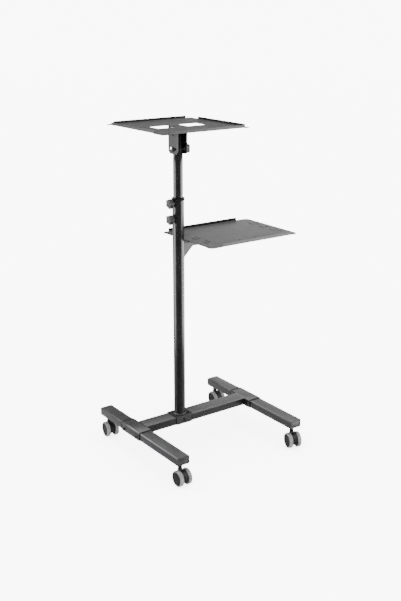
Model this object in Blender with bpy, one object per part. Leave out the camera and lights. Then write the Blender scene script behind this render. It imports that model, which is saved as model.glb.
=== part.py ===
"""Two-shelf projector trolley on an H base with four twin-wheel casters.

Metres, +Z up, floor at z = 0. The table is laid out around the axis of its post, with +X along
the cross beam and -Y towards the braked casters. Everything hangs from one empty, which puts the
origin at the middle of the table's footprint, on the floor.
"""
from math import asin, cos, hypot, pi, radians, sin, sqrt

import bmesh
import bpy
from mathutils import Matrix, Vector

# Clearances between pieces that touch, and between pieces that run in each other
SEAT_GAP = 0.0003
RUNNING_GAP = 0.0005
CUT_OVERRUN = 0.004

# Legs and end caps
LEG_WIDTH = 0.050
LEG_HEIGHT = 0.030
LEG_WALL = 0.0015
LEG_CORNER = 0.0030
LEG_REAR_REACH = 0.2228
LEG_FRONT_REACH = 0.3060
LEFT_LEG_OFFSET = 0.193
RIGHT_LEG_OFFSET = 0.317
CAP_FLANGE = 0.0020
CAP_PLUG = 0.0080
CAP_EDGE = 0.0010

# Saddles over the legs, with a through bolt near each end
SADDLE_PLATE = 0.0020
SADDLE_LENGTH = 0.122
SADDLE_CORNER = 0.0040
SADDLE_BOLT_INSET = 0.018
SADDLE_BOLT_DROP = 0.0045

# Cross beam
BEAM_DEPTH = 0.060
BEAM_HEIGHT = 0.030
BEAM_WALL = 0.0015
BEAM_CORNER = 0.0030

# Foot bracket of the post
FOOT_LENGTH = 0.069
FOOT_PLATE = 0.0025
FOOT_CORNER = 0.0040
FOOT_BOLT_X = 0.0262
FOOT_BOLT_Y = 0.0188
FOOT_BOLT_LENGTH = 0.0080

# Bolts: shank and head radii, head height, the head's chamfer and the play in a bolt's hole
BOLT_SHANK = 0.0030
BOLT_HEAD = 0.0053
SMALL_BOLT_HEAD = 0.0046
BOLT_HEAD_HEIGHT = 0.0036
BOLT_CHAMFER = 0.0009
HOLE_PLAY = 0.0004

# Post
LOWER_TUBE_RADIUS = 0.0210
LOWER_TUBE_WALL = 0.0015
LOWER_TUBE_TOP = 0.9350
UPPER_TUBE_RADIUS = 0.0175
UPPER_TUBE_WALL = 0.0015
UPPER_TUBE_OVERLAP = 0.375
COLLAR_RADIUS = 0.0231
COLLAR_HEIGHT = 0.0088
COLLAR_DEPTH = 0.040
COLLAR_CHAMFER = 0.0012
GLIDE_SKIRT = 0.015
GLIDE_PLUG = 0.020
TOP_HOLE_DROP = 0.149
HOLE_PITCH = 0.058
PITCH_HOLE_RADIUS = 0.0035
PITCH_HOLE_COUNT = 8

# Knobs, and the welded bosses that the post's two knobs screw into
UPPER_KNOB_DROP = 0.0100
POST_KNOB_SPACING = 0.058
POST_KNOB_RADIUS = 0.0185
POST_KNOB_HUB = 0.0022
TILT_KNOB_RADIUS = 0.0205
TILT_KNOB_HUB = 0.0060
KNOB_LOBE_DEPTH = 0.0040
KNOB_LOBES = 5
KNOB_THICKNESS = 0.0150
KNOB_EDGE = 0.0020
KNOB_HUB_RADIUS = 0.0085
KNOB_SCREW = 0.0040
BOSS_RADIUS = 0.0078
BOSS_LENGTH = 0.0045
BOSS_SINK = 0.0060

# Both shelves: folded sheet, with lips that are bent up along its edges
SHEET = 0.0016
LIP_BEND = 0.0026
LIP_RELIEF = 0.0014

# Upper shelf: its rise is from the lower tube's top, and its corners stand out past the lips
SHELF_RISE = 0.2590
UPPER_SHELF_SIDE = 0.350
UPPER_LIP_HEIGHT = 0.0102
UPPER_TAB = 0.0050
UPPER_CORNER = 0.0100
UPPER_LIP_MARGIN = 0.0208
UPPER_LIP_OPEN_MARGIN = 0.0520
WINDOW_INNER = 0.0200
WINDOW_OUTER = 0.1000
WINDOW_HALF_DEPTH = 0.0335
WINDOW_CORNER = 0.0040

# Tilt yoke under the upper shelf, with its pivot bolt and clamp bolt
YOKE_PLATE = 0.0020
YOKE_BEND = 0.0040
EAR_HALF_WIDTH = 0.0295
EAR_CORNER = 0.0150
EAR_BELOW_CLAMP = 0.0162
PIVOT_DROP = 0.0260
CLAMP_DROP = 0.0533
CLAMP_SHANK = 0.0038
CLAMP_HEAD = 0.0085
CLAMP_HEAD_HEIGHT = 0.0045
CLAMP_THREAD = 0.0160
TUBE_ABOVE_PIVOT = 0.0150
TILT_LIMIT = radians(17)
TILT_SPARE = radians(0.7)

# Lower shelf
LOWER_SHELF_NEAR = 0.029
LOWER_SHELF_LENGTH = 0.405
LOWER_SHELF_DEPTH = 0.310
LOWER_SHELF_FLOOR = 0.7820
LOWER_LIP_HEIGHT = 0.0122
LOWER_CORNER = 0.0200
NEAR_EDGE_INSET = 0.0040
LOWER_LIP_MARGIN = 0.0310
LOWER_LIP_OPEN_MARGIN = 0.0540
VENT_SLOT_LENGTH = 0.034
VENT_SLOT_WIDTH = 0.005
VENT_SLOT_PITCH = 0.065
VENT_SLOT_ROWS = 3
SLOT_ROW_STAGGER = 0.006
NEAR_ROW_INSET = 0.040
FAR_ROW_INSET = 0.026
SLOT_ROW_SPACING = 0.019
SHELF_HOLE_RADIUS = 0.0030
SHELF_HOLE_INSET = 0.047
SHELF_HOLE_START = 0.164
SHELF_HOLE_PITCH = 0.069
SHELF_HOLE_COUNT = 3

# Arm of the lower shelf, its gusset, and the screws that hold the shelf from below
ARM_HALF_WIDTH = 0.015
ARM_SHEET = 0.0025
ARM_BEND = 0.0040
ARM_DEPTH = 0.0185
ARM_ROOT = 0.012
ARM_END = 0.300
GUSSET_THICKNESS = 0.0040
GUSSET_REACH = 0.0665
GUSSET_FOOT_DROP = 0.0630
NEAR_SCREW_X = 0.098
FAR_SCREW_X = 0.276
SCREW_SHANK = 0.0020
SCREW_HEAD = 0.0045
SCREW_HEAD_HEIGHT = 0.0018
SCREW_TIP_DROP = 0.0004

# Casters
CASTER_HEIGHT = 0.080
FRONT_CASTER_INSET = 0.023
REAR_CASTER_INSET = 0.018
CASTER_TRAIL = 0.014
WHEEL_RADIUS = 0.0290
WHEEL_WIDTH = 0.0150
WHEEL_GAP = 0.0202
WHEEL_SHOULDER = 0.0030
WHEEL_DISC_RADIUS = 0.0245
WHEEL_RECESS = 0.0045
WHEEL_RIM = 0.0045
WHEEL_HUB_RADIUS = 0.0075
AXLE_RADIUS = 0.0030
AXLE_BITE = 0.0095
HOUSING_RADIUS = 0.0262
HOUSING_SIDE_GAP = 0.0009
HOUSING_SKIRT = radians(24)
NECK_RADIUS = 0.0074
NECK_FOOT = 0.030
STEM_PIN = 0.0042
STEM_PIN_FOOT = 0.040
STEM_COLLAR = 0.0085
STEM_COLLAR_HEIGHT = 0.0040
STEM_THREAD = 0.0046
STEM_THREAD_LENGTH = 0.016
LEVER_BOSS = 0.0035
LEVER_SET_BACK = 0.0135
LEVER_REACH = 0.0155
LEVER_SLOPE = radians(33)
LEVER_THICKNESS = 0.0034
LEVER_HALF_WIDTH = 0.0062
FRONT_LEFT_TURN = 0.0
FRONT_RIGHT_TURN = radians(-15)
REAR_LEFT_TURN = radians(-7)
REAR_RIGHT_TURN = radians(-4)

# Steps around round shapes
TUBE_STEPS = 36
WHEEL_STEPS = 28
BOLT_STEPS = 12
KNOB_STEPS = 6 * KNOB_LOBES
CORNER_STEPS = 3
SMOOTH_ANGLE = radians(35)

# Ways to lay a drawing: the directions of its own x and y, and it is extruded along their cross
X_AXIS = Vector((1.0, 0.0, 0.0))
Y_AXIS = Vector((0.0, 1.0, 0.0))
Z_AXIS = Vector((0.0, 0.0, 1.0))
ALONG_X = (Y_AXIS, Z_AXIS)
AGAINST_X = (-Y_AXIS, Z_AXIS)
ALONG_Y = (-X_AXIS, Z_AXIS)
AGAINST_Y = (X_AXIS, Z_AXIS)
UPWARD = (X_AXIS, Y_AXIS)
DOWNWARD = (X_AXIS, -Y_AXIS)

# Places that follow from the sizes above
LEG_MIDDLE = CASTER_HEIGHT + LEG_HEIGHT / 2
SADDLE_INNER = LEG_WIDTH / 2 + SEAT_GAP
SADDLE_OUTER = SADDLE_INNER + SADDLE_PLATE
SADDLE_CEILING = CASTER_HEIGHT + LEG_HEIGHT + SEAT_GAP
SADDLE_BOLT_Y = SADDLE_LENGTH / 2 - SADDLE_BOLT_INSET
SADDLE_BOLT_Z = LEG_MIDDLE - SADDLE_BOLT_DROP
BEAM_TOP = SADDLE_CEILING + SADDLE_PLATE
BEAM_BOTTOM = BEAM_TOP - BEAM_HEIGHT
BEAM_MIDDLE = BEAM_TOP - BEAM_HEIGHT / 2
FOOT_INNER = BEAM_DEPTH / 2 + SEAT_GAP
FOOT_OUTER = FOOT_INNER + FOOT_PLATE
FOOT_TOP = BEAM_TOP + SEAT_GAP + FOOT_PLATE
BOLT_HOLE = BOLT_SHANK + HOLE_PLAY
LOWER_BORE = LOWER_TUBE_RADIUS - LOWER_TUBE_WALL
UPPER_BORE = UPPER_TUBE_RADIUS - UPPER_TUBE_WALL
KNOB_SCREW_HOLE = KNOB_SCREW + HOLE_PLAY
UPPER_TUBE_FOOT = LOWER_TUBE_TOP - UPPER_TUBE_OVERLAP
UPPER_KNOB_HEIGHT = LOWER_TUBE_TOP - UPPER_KNOB_DROP
LOWER_KNOB_HEIGHT = UPPER_KNOB_HEIGHT - POST_KNOB_SPACING
UPPER_SHELF_FLOOR = LOWER_TUBE_TOP + SHELF_RISE
YOKE_TOP = UPPER_SHELF_FLOOR - SEAT_GAP
PIVOT_HEIGHT = UPPER_SHELF_FLOOR - PIVOT_DROP
CLAMP_HEIGHT = PIVOT_HEIGHT - CLAMP_DROP
UPPER_TUBE_TOP = PIVOT_HEIGHT + TUBE_ABOVE_PIVOT
EAR_INNER = UPPER_TUBE_RADIUS + RUNNING_GAP
EAR_OUTER = EAR_INNER + YOKE_PLATE
LOWER_SHELF_FAR = LOWER_SHELF_NEAR + LOWER_SHELF_LENGTH
ARM_TOP = LOWER_SHELF_FLOOR - SEAT_GAP
ARM_BOTTOM = ARM_TOP - ARM_DEPTH
STEM_COLLAR_FOOT = CASTER_HEIGHT - SEAT_GAP - STEM_COLLAR_HEIGHT
FRONT_CASTER_Y = -LEG_FRONT_REACH + FRONT_CASTER_INSET
REAR_CASTER_Y = LEG_REAR_REACH - REAR_CASTER_INSET


# Outlines in a plane, counter-clockwise

def arc(centre, radius, start, end, steps):
    turns = [start + (end - start) * k / steps for k in range(steps + 1)]
    return [(centre[0] + radius * cos(turn), centre[1] + radius * sin(turn)) for turn in turns]


def circle(radius, steps, centre=(0.0, 0.0)):
    return arc(centre, radius, 0.0, 2 * pi * (steps - 1) / steps, steps - 1)


def corner_arcs(left, right, bottom, top, radius, steps):
    """The four round corners of a rectangle, from its lower right one on."""
    places = ((right - radius, bottom + radius), (right - radius, top - radius),
              (left + radius, top - radius), (left + radius, bottom + radius))
    return [arc(place, radius, (k - 1) * pi / 2, k * pi / 2, steps) for k, place in enumerate(places)]


def rounded_rectangle(width, height, radius, centre_x=0.0):
    corners = corner_arcs(centre_x - width / 2, centre_x + width / 2, -height / 2, height / 2, radius,
                          CORNER_STEPS)
    return [point for corner in corners for point in corner]


def channel(inner_half, wall, low, ceiling, bend):
    """An inverted U: two flanges, and a top whose bends are round inside and out."""
    outer_half = inner_half + wall
    right = (outer_half - bend, ceiling + wall - bend)
    left = (-right[0], right[1])
    inside = arc(left, bend - wall, pi, pi / 2, CORNER_STEPS) + arc(right, bend - wall, pi / 2, 0.0, CORNER_STEPS)
    outside = arc(right, bend, 0.0, pi / 2, CORNER_STEPS) + arc(left, bend, pi / 2, pi, CORNER_STEPS)
    return [(-outer_half, low), (-inner_half, low)] + inside + [(inner_half, low), (outer_half, low)] + outside


def slot(centre_x, centre_y, length, width):
    """A slot with round ends that runs along y."""
    run = (length - width) / 2
    upper = arc((centre_x, centre_y + run), width / 2, 0.0, pi, CORNER_STEPS)
    lower = arc((centre_x, centre_y - run), width / 2, pi, 2 * pi, CORNER_STEPS)
    return upper + lower


def arc_slot(radius, half_width, swing):
    """A slot with round ends along an arc that hangs below its centre."""
    first, last = -pi / 2 - swing, -pi / 2 + swing
    ends = [(radius * cos(turn), radius * sin(turn)) for turn in (last, first)]
    steps = 2 * CORNER_STEPS
    outline = arc((0.0, 0.0), radius + half_width, first, last, steps)
    outline += arc(ends[0], half_width, last, last + pi, steps)[1:-1]
    outline += arc((0.0, 0.0), radius - half_width, last, first, steps)
    outline += arc(ends[1], half_width, first + pi, first + 2 * pi, steps)[1:-1]
    return outline


# Closed bodies

def loft(sections, closed_loop=False):
    """A body through sections of (outline, height). An outline of one point is a pole."""
    mesh = bmesh.new()
    rings = [[mesh.verts.new((x, y, z)) for x, y in outline] for outline, z in sections]
    pairs = list(zip(rings, rings[1:]))
    if closed_loop:
        pairs.append((rings[-1], rings[0]))
    for low, high in pairs:
        count = max(len(low), len(high))
        for k in range(count):
            after = (k + 1) % count
            corners = (low[k % len(low)], low[after % len(low)], high[after % len(high)], high[k % len(high)])
            mesh.faces.new(list(dict.fromkeys(corners)))
    if not closed_loop:
        for ring in (rings[0], rings[-1]):
            if len(ring) > 1:
                mesh.faces.new(ring)
    bmesh.ops.recalc_face_normals(mesh, faces=mesh.faces)
    return mesh


def turned(profile, steps, closed_loop=False):
    """A body of revolution about its own z from a profile of (radius, height)."""
    sections = [(circle(radius, steps) if radius > 0 else [(0.0, 0.0)], height) for radius, height in profile]
    return loft(sections, closed_loop)


def prism(outline, low, high):
    return loft([(outline, low), (outline, high)])


def rod(radius, low, high, steps=BOLT_STEPS):
    return prism(circle(radius, steps), low, high)


def hollow(outer, inner, low, high):
    """A tube between two outlines of equal count, open at both ends."""
    return loft([(outer, low), (outer, high), (inner, high), (inner, low)], closed_loop=True)


def bolt(shank, length, head, head_height, nut=0.0):
    """A bolt whose head sits below zero and whose shank runs up, with a nut at its far end."""
    profile = [(head - BOLT_CHAMFER, -head_height), (head, BOLT_CHAMFER - head_height), (head, 0.0),
               (shank, 0.0), (shank, length)]
    if nut > 0:
        profile += [(nut, length), (nut, length + head_height)]
    return turned(profile, BOLT_STEPS)


def pose(place, axes):
    across, up = axes
    matrix = Matrix((across, up, across.cross(up))).transposed().to_4x4()
    matrix.translation = Vector(place)
    return matrix


def laid(mesh, place, axes):
    """The body set down at a place in its parent's frame."""
    mesh.transform(pose(place, axes))
    return mesh


def joined(meshes):
    """Bodies that stay clear of each other, as one mesh for a cutter."""
    whole = bmesh.new()
    for mesh in meshes:
        data = bpy.data.meshes.new("part_of_cutter")
        mesh.to_mesh(data)
        mesh.free()
        whole.from_mesh(data)
        bpy.data.meshes.remove(data)
    return whole


# Objects

def add_object(name, data, parent, place=(0.0, 0.0, 0.0), axes=UPWARD):
    item = bpy.data.objects.new(name, data)
    bpy.context.scene.collection.objects.link(item)
    item.parent = parent
    item.matrix_basis = pose(place, axes)
    return item


def add_piece(name, mesh, material, parent, place=(0.0, 0.0, 0.0), axes=UPWARD):
    data = bpy.data.meshes.new(name)
    mesh.to_mesh(data)
    mesh.free()
    data.shade_smooth()
    data.set_sharp_from_angle(angle=SMOOTH_ANGLE)
    data.materials.append(material)
    return add_object(name, data, parent, place, axes)


def carve(item, mesh, operation="DIFFERENCE"):
    """Cuts, joins or keeps what the mesh covers. The mesh lies in the frame of the item's parent."""
    data = bpy.data.meshes.new(item.name + "_tool")
    mesh.to_mesh(data)
    mesh.free()
    tool = add_object(item.name + "_tool", data, item.parent)
    tool.hide_render = True
    tool.display_type = "WIRE"
    step = item.modifiers.new(operation.lower(), "BOOLEAN")
    step.operation = operation
    step.solver = "EXACT"
    step.object = tool


def surface(name, colour, roughness, metallic=0.0):
    material = bpy.data.materials.new(name)
    material.use_nodes = True
    shader = material.node_tree.nodes["Principled BSDF"]
    shader.inputs["Base Color"].default_value = (*colour, 1.0)
    shader.inputs["Roughness"].default_value = roughness
    shader.inputs["Metallic"].default_value = metallic
    return material


# Base

def build_leg(side, x, root, finishes):
    front = -LEG_FRONT_REACH + CAP_FLANGE + SEAT_GAP
    rear = LEG_REAR_REACH - CAP_FLANGE - SEAT_GAP
    outer = rounded_rectangle(LEG_WIDTH, LEG_HEIGHT, LEG_CORNER)
    bore_corner = LEG_CORNER - LEG_WALL
    inner = rounded_rectangle(LEG_WIDTH - 2 * LEG_WALL, LEG_HEIGHT - 2 * LEG_WALL, bore_corner)
    leg = add_piece("leg_" + side, hollow(outer, inner, 0.0, rear - front), finishes["coat"], root,
                    (x, rear, LEG_MIDDLE), AGAINST_Y)
    reach = SADDLE_OUTER + CUT_OVERRUN
    cuts = []
    for y in (SADDLE_BOLT_Y, -SADDLE_BOLT_Y):
        cuts.append(laid(rod(BOLT_HOLE, -reach, reach), (x, y, SADDLE_BOLT_Z), ALONG_X))
    for y in (FRONT_CASTER_Y, REAR_CASTER_Y):
        stem_hole = rod(STEM_THREAD + HOLE_PLAY, -CUT_OVERRUN, CUT_OVERRUN)
        cuts.append(laid(stem_hole, (x, y, CASTER_HEIGHT), UPWARD))
    carve(leg, joined(cuts))

    face = rounded_rectangle(LEG_WIDTH - 2 * CAP_EDGE, LEG_HEIGHT - 2 * CAP_EDGE, LEG_CORNER - CAP_EDGE)
    plug_loss = 2 * (LEG_WALL + SEAT_GAP)
    plug = rounded_rectangle(LEG_WIDTH - plug_loss, LEG_HEIGHT - plug_loss, bore_corner)
    for end, y, axes in (("front", -LEG_FRONT_REACH, ALONG_Y), ("rear", LEG_REAR_REACH, AGAINST_Y)):
        cap = loft([(face, 0.0), (outer, CAP_EDGE), (outer, CAP_FLANGE), (plug, CAP_FLANGE),
                    (plug, CAP_FLANGE + CAP_PLUG)])
        add_piece("end_cap_" + end + "_" + side, cap, finishes["plastic"], root, (x, y, LEG_MIDDLE), axes)


def build_saddle(side, x, outward, root, finishes):
    outline = channel(SADDLE_INNER, SADDLE_PLATE, CASTER_HEIGHT, SADDLE_CEILING, SADDLE_CORNER)
    saddle = add_piece("saddle_" + side, prism(outline, -SADDLE_LENGTH / 2, SADDLE_LENGTH / 2),
                       finishes["coat"], root, (x, 0.0, 0.0), AGAINST_Y)
    reach = SADDLE_OUTER + CUT_OVERRUN
    seat = SADDLE_OUTER + SEAT_GAP
    axes = AGAINST_X if outward > 0 else ALONG_X
    cuts = []
    for end, y in (("rear", SADDLE_BOLT_Y), ("front", -SADDLE_BOLT_Y)):
        cuts.append(laid(rod(BOLT_HOLE, -reach, reach), (x, y, SADDLE_BOLT_Z), ALONG_X))
        through = bolt(BOLT_SHANK, 2 * seat, BOLT_HEAD, BOLT_HEAD_HEIGHT, BOLT_HEAD)
        add_piece("saddle_bolt_" + end + "_" + side, through, finishes["steel"], root,
                  (x + outward * seat, y, SADDLE_BOLT_Z), axes)
    carve(saddle, joined(cuts))


def foot_bolt_places():
    """The names and places of the bolts in the corners of the post's foot."""
    for end, y in (("rear", FOOT_BOLT_Y), ("front", -FOOT_BOLT_Y)):
        for side, x in (("left", -FOOT_BOLT_X), ("right", FOOT_BOLT_X)):
            yield end + "_" + side, x, y


def build_beam(root, finishes):
    start = -LEFT_LEG_OFFSET + SADDLE_OUTER + SEAT_GAP
    end = RIGHT_LEG_OFFSET - SADDLE_OUTER - SEAT_GAP
    outer = rounded_rectangle(BEAM_DEPTH, BEAM_HEIGHT, BEAM_CORNER)
    inner = rounded_rectangle(BEAM_DEPTH - 2 * BEAM_WALL, BEAM_HEIGHT - 2 * BEAM_WALL, BEAM_CORNER - BEAM_WALL)
    beam = add_piece("cross_beam", hollow(outer, inner, 0.0, end - start), finishes["coat"], root,
                     (start, 0.0, BEAM_MIDDLE), ALONG_X)
    outline = channel(FOOT_INNER, FOOT_PLATE, BEAM_BOTTOM, BEAM_TOP + SEAT_GAP, FOOT_CORNER)
    foot = add_piece("post_foot_bracket", prism(outline, -FOOT_LENGTH / 2, FOOT_LENGTH / 2), finishes["coat"],
                     root, (0.0, 0.0, 0.0), ALONG_X)
    reach = FOOT_OUTER + CUT_OVERRUN
    for item in (beam, foot):
        cuts = [laid(rod(BOLT_HOLE, -reach, reach), (0.0, 0.0, BEAM_MIDDLE), ALONG_Y)]
        for name, x, y in foot_bolt_places():
            cuts.append(laid(rod(BOLT_HOLE, -CUT_OVERRUN, CUT_OVERRUN), (x, y, BEAM_TOP), UPWARD))
        carve(item, joined(cuts))
    seat = FOOT_OUTER + SEAT_GAP
    through = bolt(BOLT_SHANK, 2 * seat, BOLT_HEAD, BOLT_HEAD_HEIGHT, BOLT_HEAD)
    add_piece("foot_cross_bolt", through, finishes["steel"], root, (0.0, -seat, BEAM_MIDDLE), ALONG_Y)
    for name, x, y in foot_bolt_places():
        short = bolt(BOLT_SHANK, FOOT_BOLT_LENGTH, SMALL_BOLT_HEAD, BOLT_HEAD_HEIGHT)
        add_piece("foot_bolt_" + name, short, finishes["steel"], root, (x, y, FOOT_TOP + SEAT_GAP), DOWNWARD)


# Post

def build_lower_post(root, finishes):
    shell = hollow(circle(LOWER_TUBE_RADIUS, TUBE_STEPS), circle(LOWER_BORE, TUBE_STEPS),
                   FOOT_TOP + SEAT_GAP, LOWER_TUBE_TOP)
    tube = add_piece("lower_post_tube", shell, finishes["coat"], root)
    bush_outer = LOWER_BORE - SEAT_GAP
    bush_inner = UPPER_TUBE_RADIUS + SEAT_GAP
    base = LOWER_TUBE_TOP + SEAT_GAP
    top = base + COLLAR_HEIGHT
    profile = [(bush_inner, base - COLLAR_DEPTH), (bush_outer, base - COLLAR_DEPTH), (bush_outer, base),
               (COLLAR_RADIUS, base), (COLLAR_RADIUS, top - COLLAR_CHAMFER), (COLLAR_RADIUS - COLLAR_CHAMFER, top),
               (bush_inner, top)]
    collar = add_piece("post_collar", turned(profile, TUBE_STEPS, closed_loop=True), finishes["plastic"], root)
    inside = UPPER_TUBE_RADIUS - CUT_OVERRUN
    outside = LOWER_TUBE_RADIUS + CUT_OVERRUN
    heights = (UPPER_KNOB_HEIGHT, LOWER_KNOB_HEIGHT)
    for item in (tube, collar):
        cuts = [laid(rod(KNOB_SCREW_HOLE, inside, outside), (0.0, 0.0, z), AGAINST_X) for z in heights]
        carve(item, joined(cuts))
    for name, z in zip(("upper", "lower"), heights):
        boss = hollow(circle(BOSS_RADIUS, BOLT_STEPS), circle(KNOB_SCREW_HOLE, BOLT_STEPS),
                      LOWER_TUBE_RADIUS - BOSS_SINK, LOWER_TUBE_RADIUS + BOSS_LENGTH)
        item = add_piece("clamp_boss_" + name, boss, finishes["coat"], root, (0.0, 0.0, z), AGAINST_X)
        cope = rod(LOWER_TUBE_RADIUS + SEAT_GAP, -2 * BOSS_RADIUS, 2 * BOSS_RADIUS, TUBE_STEPS)
        carve(item, laid(cope, (0.0, 0.0, z), UPWARD))


def build_upper_post(upper, finishes):
    shell = hollow(circle(UPPER_TUBE_RADIUS, TUBE_STEPS), circle(UPPER_BORE, TUBE_STEPS), UPPER_TUBE_FOOT,
                   UPPER_TUBE_TOP)
    tube = add_piece("upper_post_tube", shell, finishes["coat"], upper)
    cuts = []
    for step in range(PITCH_HOLE_COUNT):
        hole = rod(PITCH_HOLE_RADIUS, UPPER_BORE - CUT_OVERRUN, UPPER_TUBE_RADIUS + CUT_OVERRUN)
        cuts.append(laid(hole, (0.0, 0.0, UPPER_TUBE_TOP - TOP_HOLE_DROP - step * HOLE_PITCH), AGAINST_X))
    reach = EAR_OUTER + CUT_OVERRUN
    cuts.append(laid(rod(BOLT_HOLE, -reach, reach), (0.0, 0.0, PIVOT_HEIGHT), ALONG_X))
    cuts.append(laid(rod(CLAMP_SHANK + HOLE_PLAY, -reach, reach), (0.0, 0.0, CLAMP_HEIGHT), ALONG_X))
    carve(tube, joined(cuts))
    skirt = LOWER_BORE - SEAT_GAP
    plug = UPPER_BORE - SEAT_GAP
    top = UPPER_TUBE_FOOT - SEAT_GAP
    glide = turned([(skirt, top - GLIDE_SKIRT), (skirt, top), (plug, top), (plug, top + GLIDE_PLUG)], TUBE_STEPS)
    add_piece("post_glide", glide, finishes["plastic"], upper)


# Knobs

def lobed(radius):
    """A star outline: its radius dips by the lobe depth between the lobes."""
    points = []
    for k in range(KNOB_STEPS):
        turn = 2 * pi * k / KNOB_STEPS
        reach = radius - KNOB_LOBE_DEPTH / 2 * (1 - cos(KNOB_LOBES * turn))
        points.append((reach * cos(turn), reach * sin(turn)))
    return points


def knob(radius, neck, hub_length, core, core_end):
    """A star knob from its neck outwards. Its core is a screw below the neck, or a blind bore above."""
    back = neck + hub_length
    front = back + KNOB_THICKNESS
    hub = circle(KNOB_HUB_RADIUS, KNOB_STEPS)
    small = lobed(radius - KNOB_EDGE)
    large = lobed(radius)
    shank = circle(core, KNOB_STEPS)
    return loft([(shank, core_end), (shank, neck), (hub, neck), (hub, back), (small, back),
                 (large, back + KNOB_EDGE), (large, front - KNOB_EDGE), (small, front)])


def build_knobs(root, upper, finishes):
    neck = LOWER_TUBE_RADIUS + BOSS_LENGTH + SEAT_GAP
    tip = UPPER_TUBE_RADIUS + SEAT_GAP
    for name, z in (("upper", UPPER_KNOB_HEIGHT), ("lower", LOWER_KNOB_HEIGHT)):
        head = knob(POST_KNOB_RADIUS, neck, POST_KNOB_HUB, KNOB_SCREW, tip)
        add_piece("post_knob_" + name, head, finishes["plastic"], root, (0.0, 0.0, z), AGAINST_X)
    seat = EAR_OUTER + SEAT_GAP
    depth = seat + CLAMP_THREAD + SEAT_GAP
    head = knob(TILT_KNOB_RADIUS, seat, TILT_KNOB_HUB, CLAMP_SHANK + SEAT_GAP, depth)
    add_piece("tilt_knob", head, finishes["plastic"], upper, (0.0, 0.0, CLAMP_HEIGHT), ALONG_X)


# Shelves

def lip_run(outline, start, end, outward, tab=0.0):
    """Adds a stretch of edge that carries a lip between two points of the lip's outer face.

    The stretch is set back by the bend, with a notch at each end, and the edge past the notches stands
    out from the lip by the tab. It returns the lip as the numbers of its two end points in the outline,
    and its direction.
    """
    length = hypot(end[0] - start[0], end[1] - start[1])
    notch = ((end[0] - start[0]) / length * LIP_RELIEF, (end[1] - start[1]) / length * LIP_RELIEF)
    inset = (outward[0] * LIP_BEND, outward[1] * LIP_BEND)
    proud = (outward[0] * tab, outward[1] * tab)
    before = (start[0] - notch[0], start[1] - notch[1])
    after = (end[0] + notch[0], end[1] + notch[1])
    outline.append((before[0] + proud[0], before[1] + proud[1]))
    for point in (before, start, end, after):
        outline.append((point[0] - inset[0], point[1] - inset[1]))
    outline.append((after[0] + proud[0], after[1] + proud[1]))
    return len(outline) - 4, len(outline) - 3, outward


def folded_sheet(name, outline, lips, lip_height, holes, material, parent, place):
    """A flat sheet with holes, whose lips turn up along straight stretches of its edge."""
    mesh = bmesh.new()
    loops = [[mesh.verts.new((x, y, 0.0)) for x, y in points] for points in [outline] + holes]
    edges = [mesh.edges.new(pair) for loop in loops for pair in zip(loop, loop[1:] + loop[:1])]
    bmesh.ops.triangle_fill(mesh, use_beauty=True, use_dissolve=False, edges=edges, normal=(0.0, 0.0, 1.0))
    bend = arc((0.0, LIP_BEND), LIP_BEND, -pi / 2, 0.0, CORNER_STEPS)[1:]
    for first, last, outward in lips:
        low = [loops[0][first], loops[0][last]]
        base = [vertex.co.copy() for vertex in low]
        for run, rise in bend + [(LIP_BEND, lip_height)]:
            shift = Vector((outward[0] * run, outward[1] * run, rise))
            high = [mesh.verts.new(corner + shift) for corner in base]
            mesh.faces.new((low[0], low[1], high[1], high[0]))
            low = high
    bmesh.ops.recalc_face_normals(mesh, faces=mesh.faces)
    mesh.faces.ensure_lookup_table()
    if mesh.faces[0].normal.z < 0:
        bmesh.ops.reverse_faces(mesh, faces=mesh.faces)
    item = add_piece(name, mesh, material, parent, place)
    thick = item.modifiers.new("sheet", "SOLIDIFY")
    thick.thickness = SHEET
    thick.offset = 1.0
    thick.use_even_offset = True
    return item


def build_upper_shelf(shelf, finishes):
    half = UPPER_SHELF_SIDE / 2
    near = half - UPPER_LIP_MARGIN
    far = half - UPPER_LIP_OPEN_MARGIN
    edge = half + UPPER_TAB
    corners = corner_arcs(-edge, edge, -edge, edge, UPPER_CORNER, 2 * CORNER_STEPS)
    runs = (((half, -near), (half, far), (1.0, 0.0)), ((near, half), (-near, half), (0.0, 1.0)),
            ((-half, near), (-half, -far), (-1.0, 0.0)), ((-near, -half), (near, -half), (0.0, -1.0)))
    outline = []
    lips = []
    for corner, run in zip(corners, runs):
        outline += corner
        lips.append(lip_run(outline, *run, UPPER_TAB))
    width = WINDOW_OUTER - WINDOW_INNER
    middle = (WINDOW_OUTER + WINDOW_INNER) / 2
    windows = [rounded_rectangle(width, 2 * WINDOW_HALF_DEPTH, WINDOW_CORNER, x) for x in (-middle, middle)]
    folded_sheet("upper_shelf", outline, lips, UPPER_LIP_HEIGHT, windows, finishes["coat"], shelf,
                 (0.0, 0.0, PIVOT_DROP))


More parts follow.
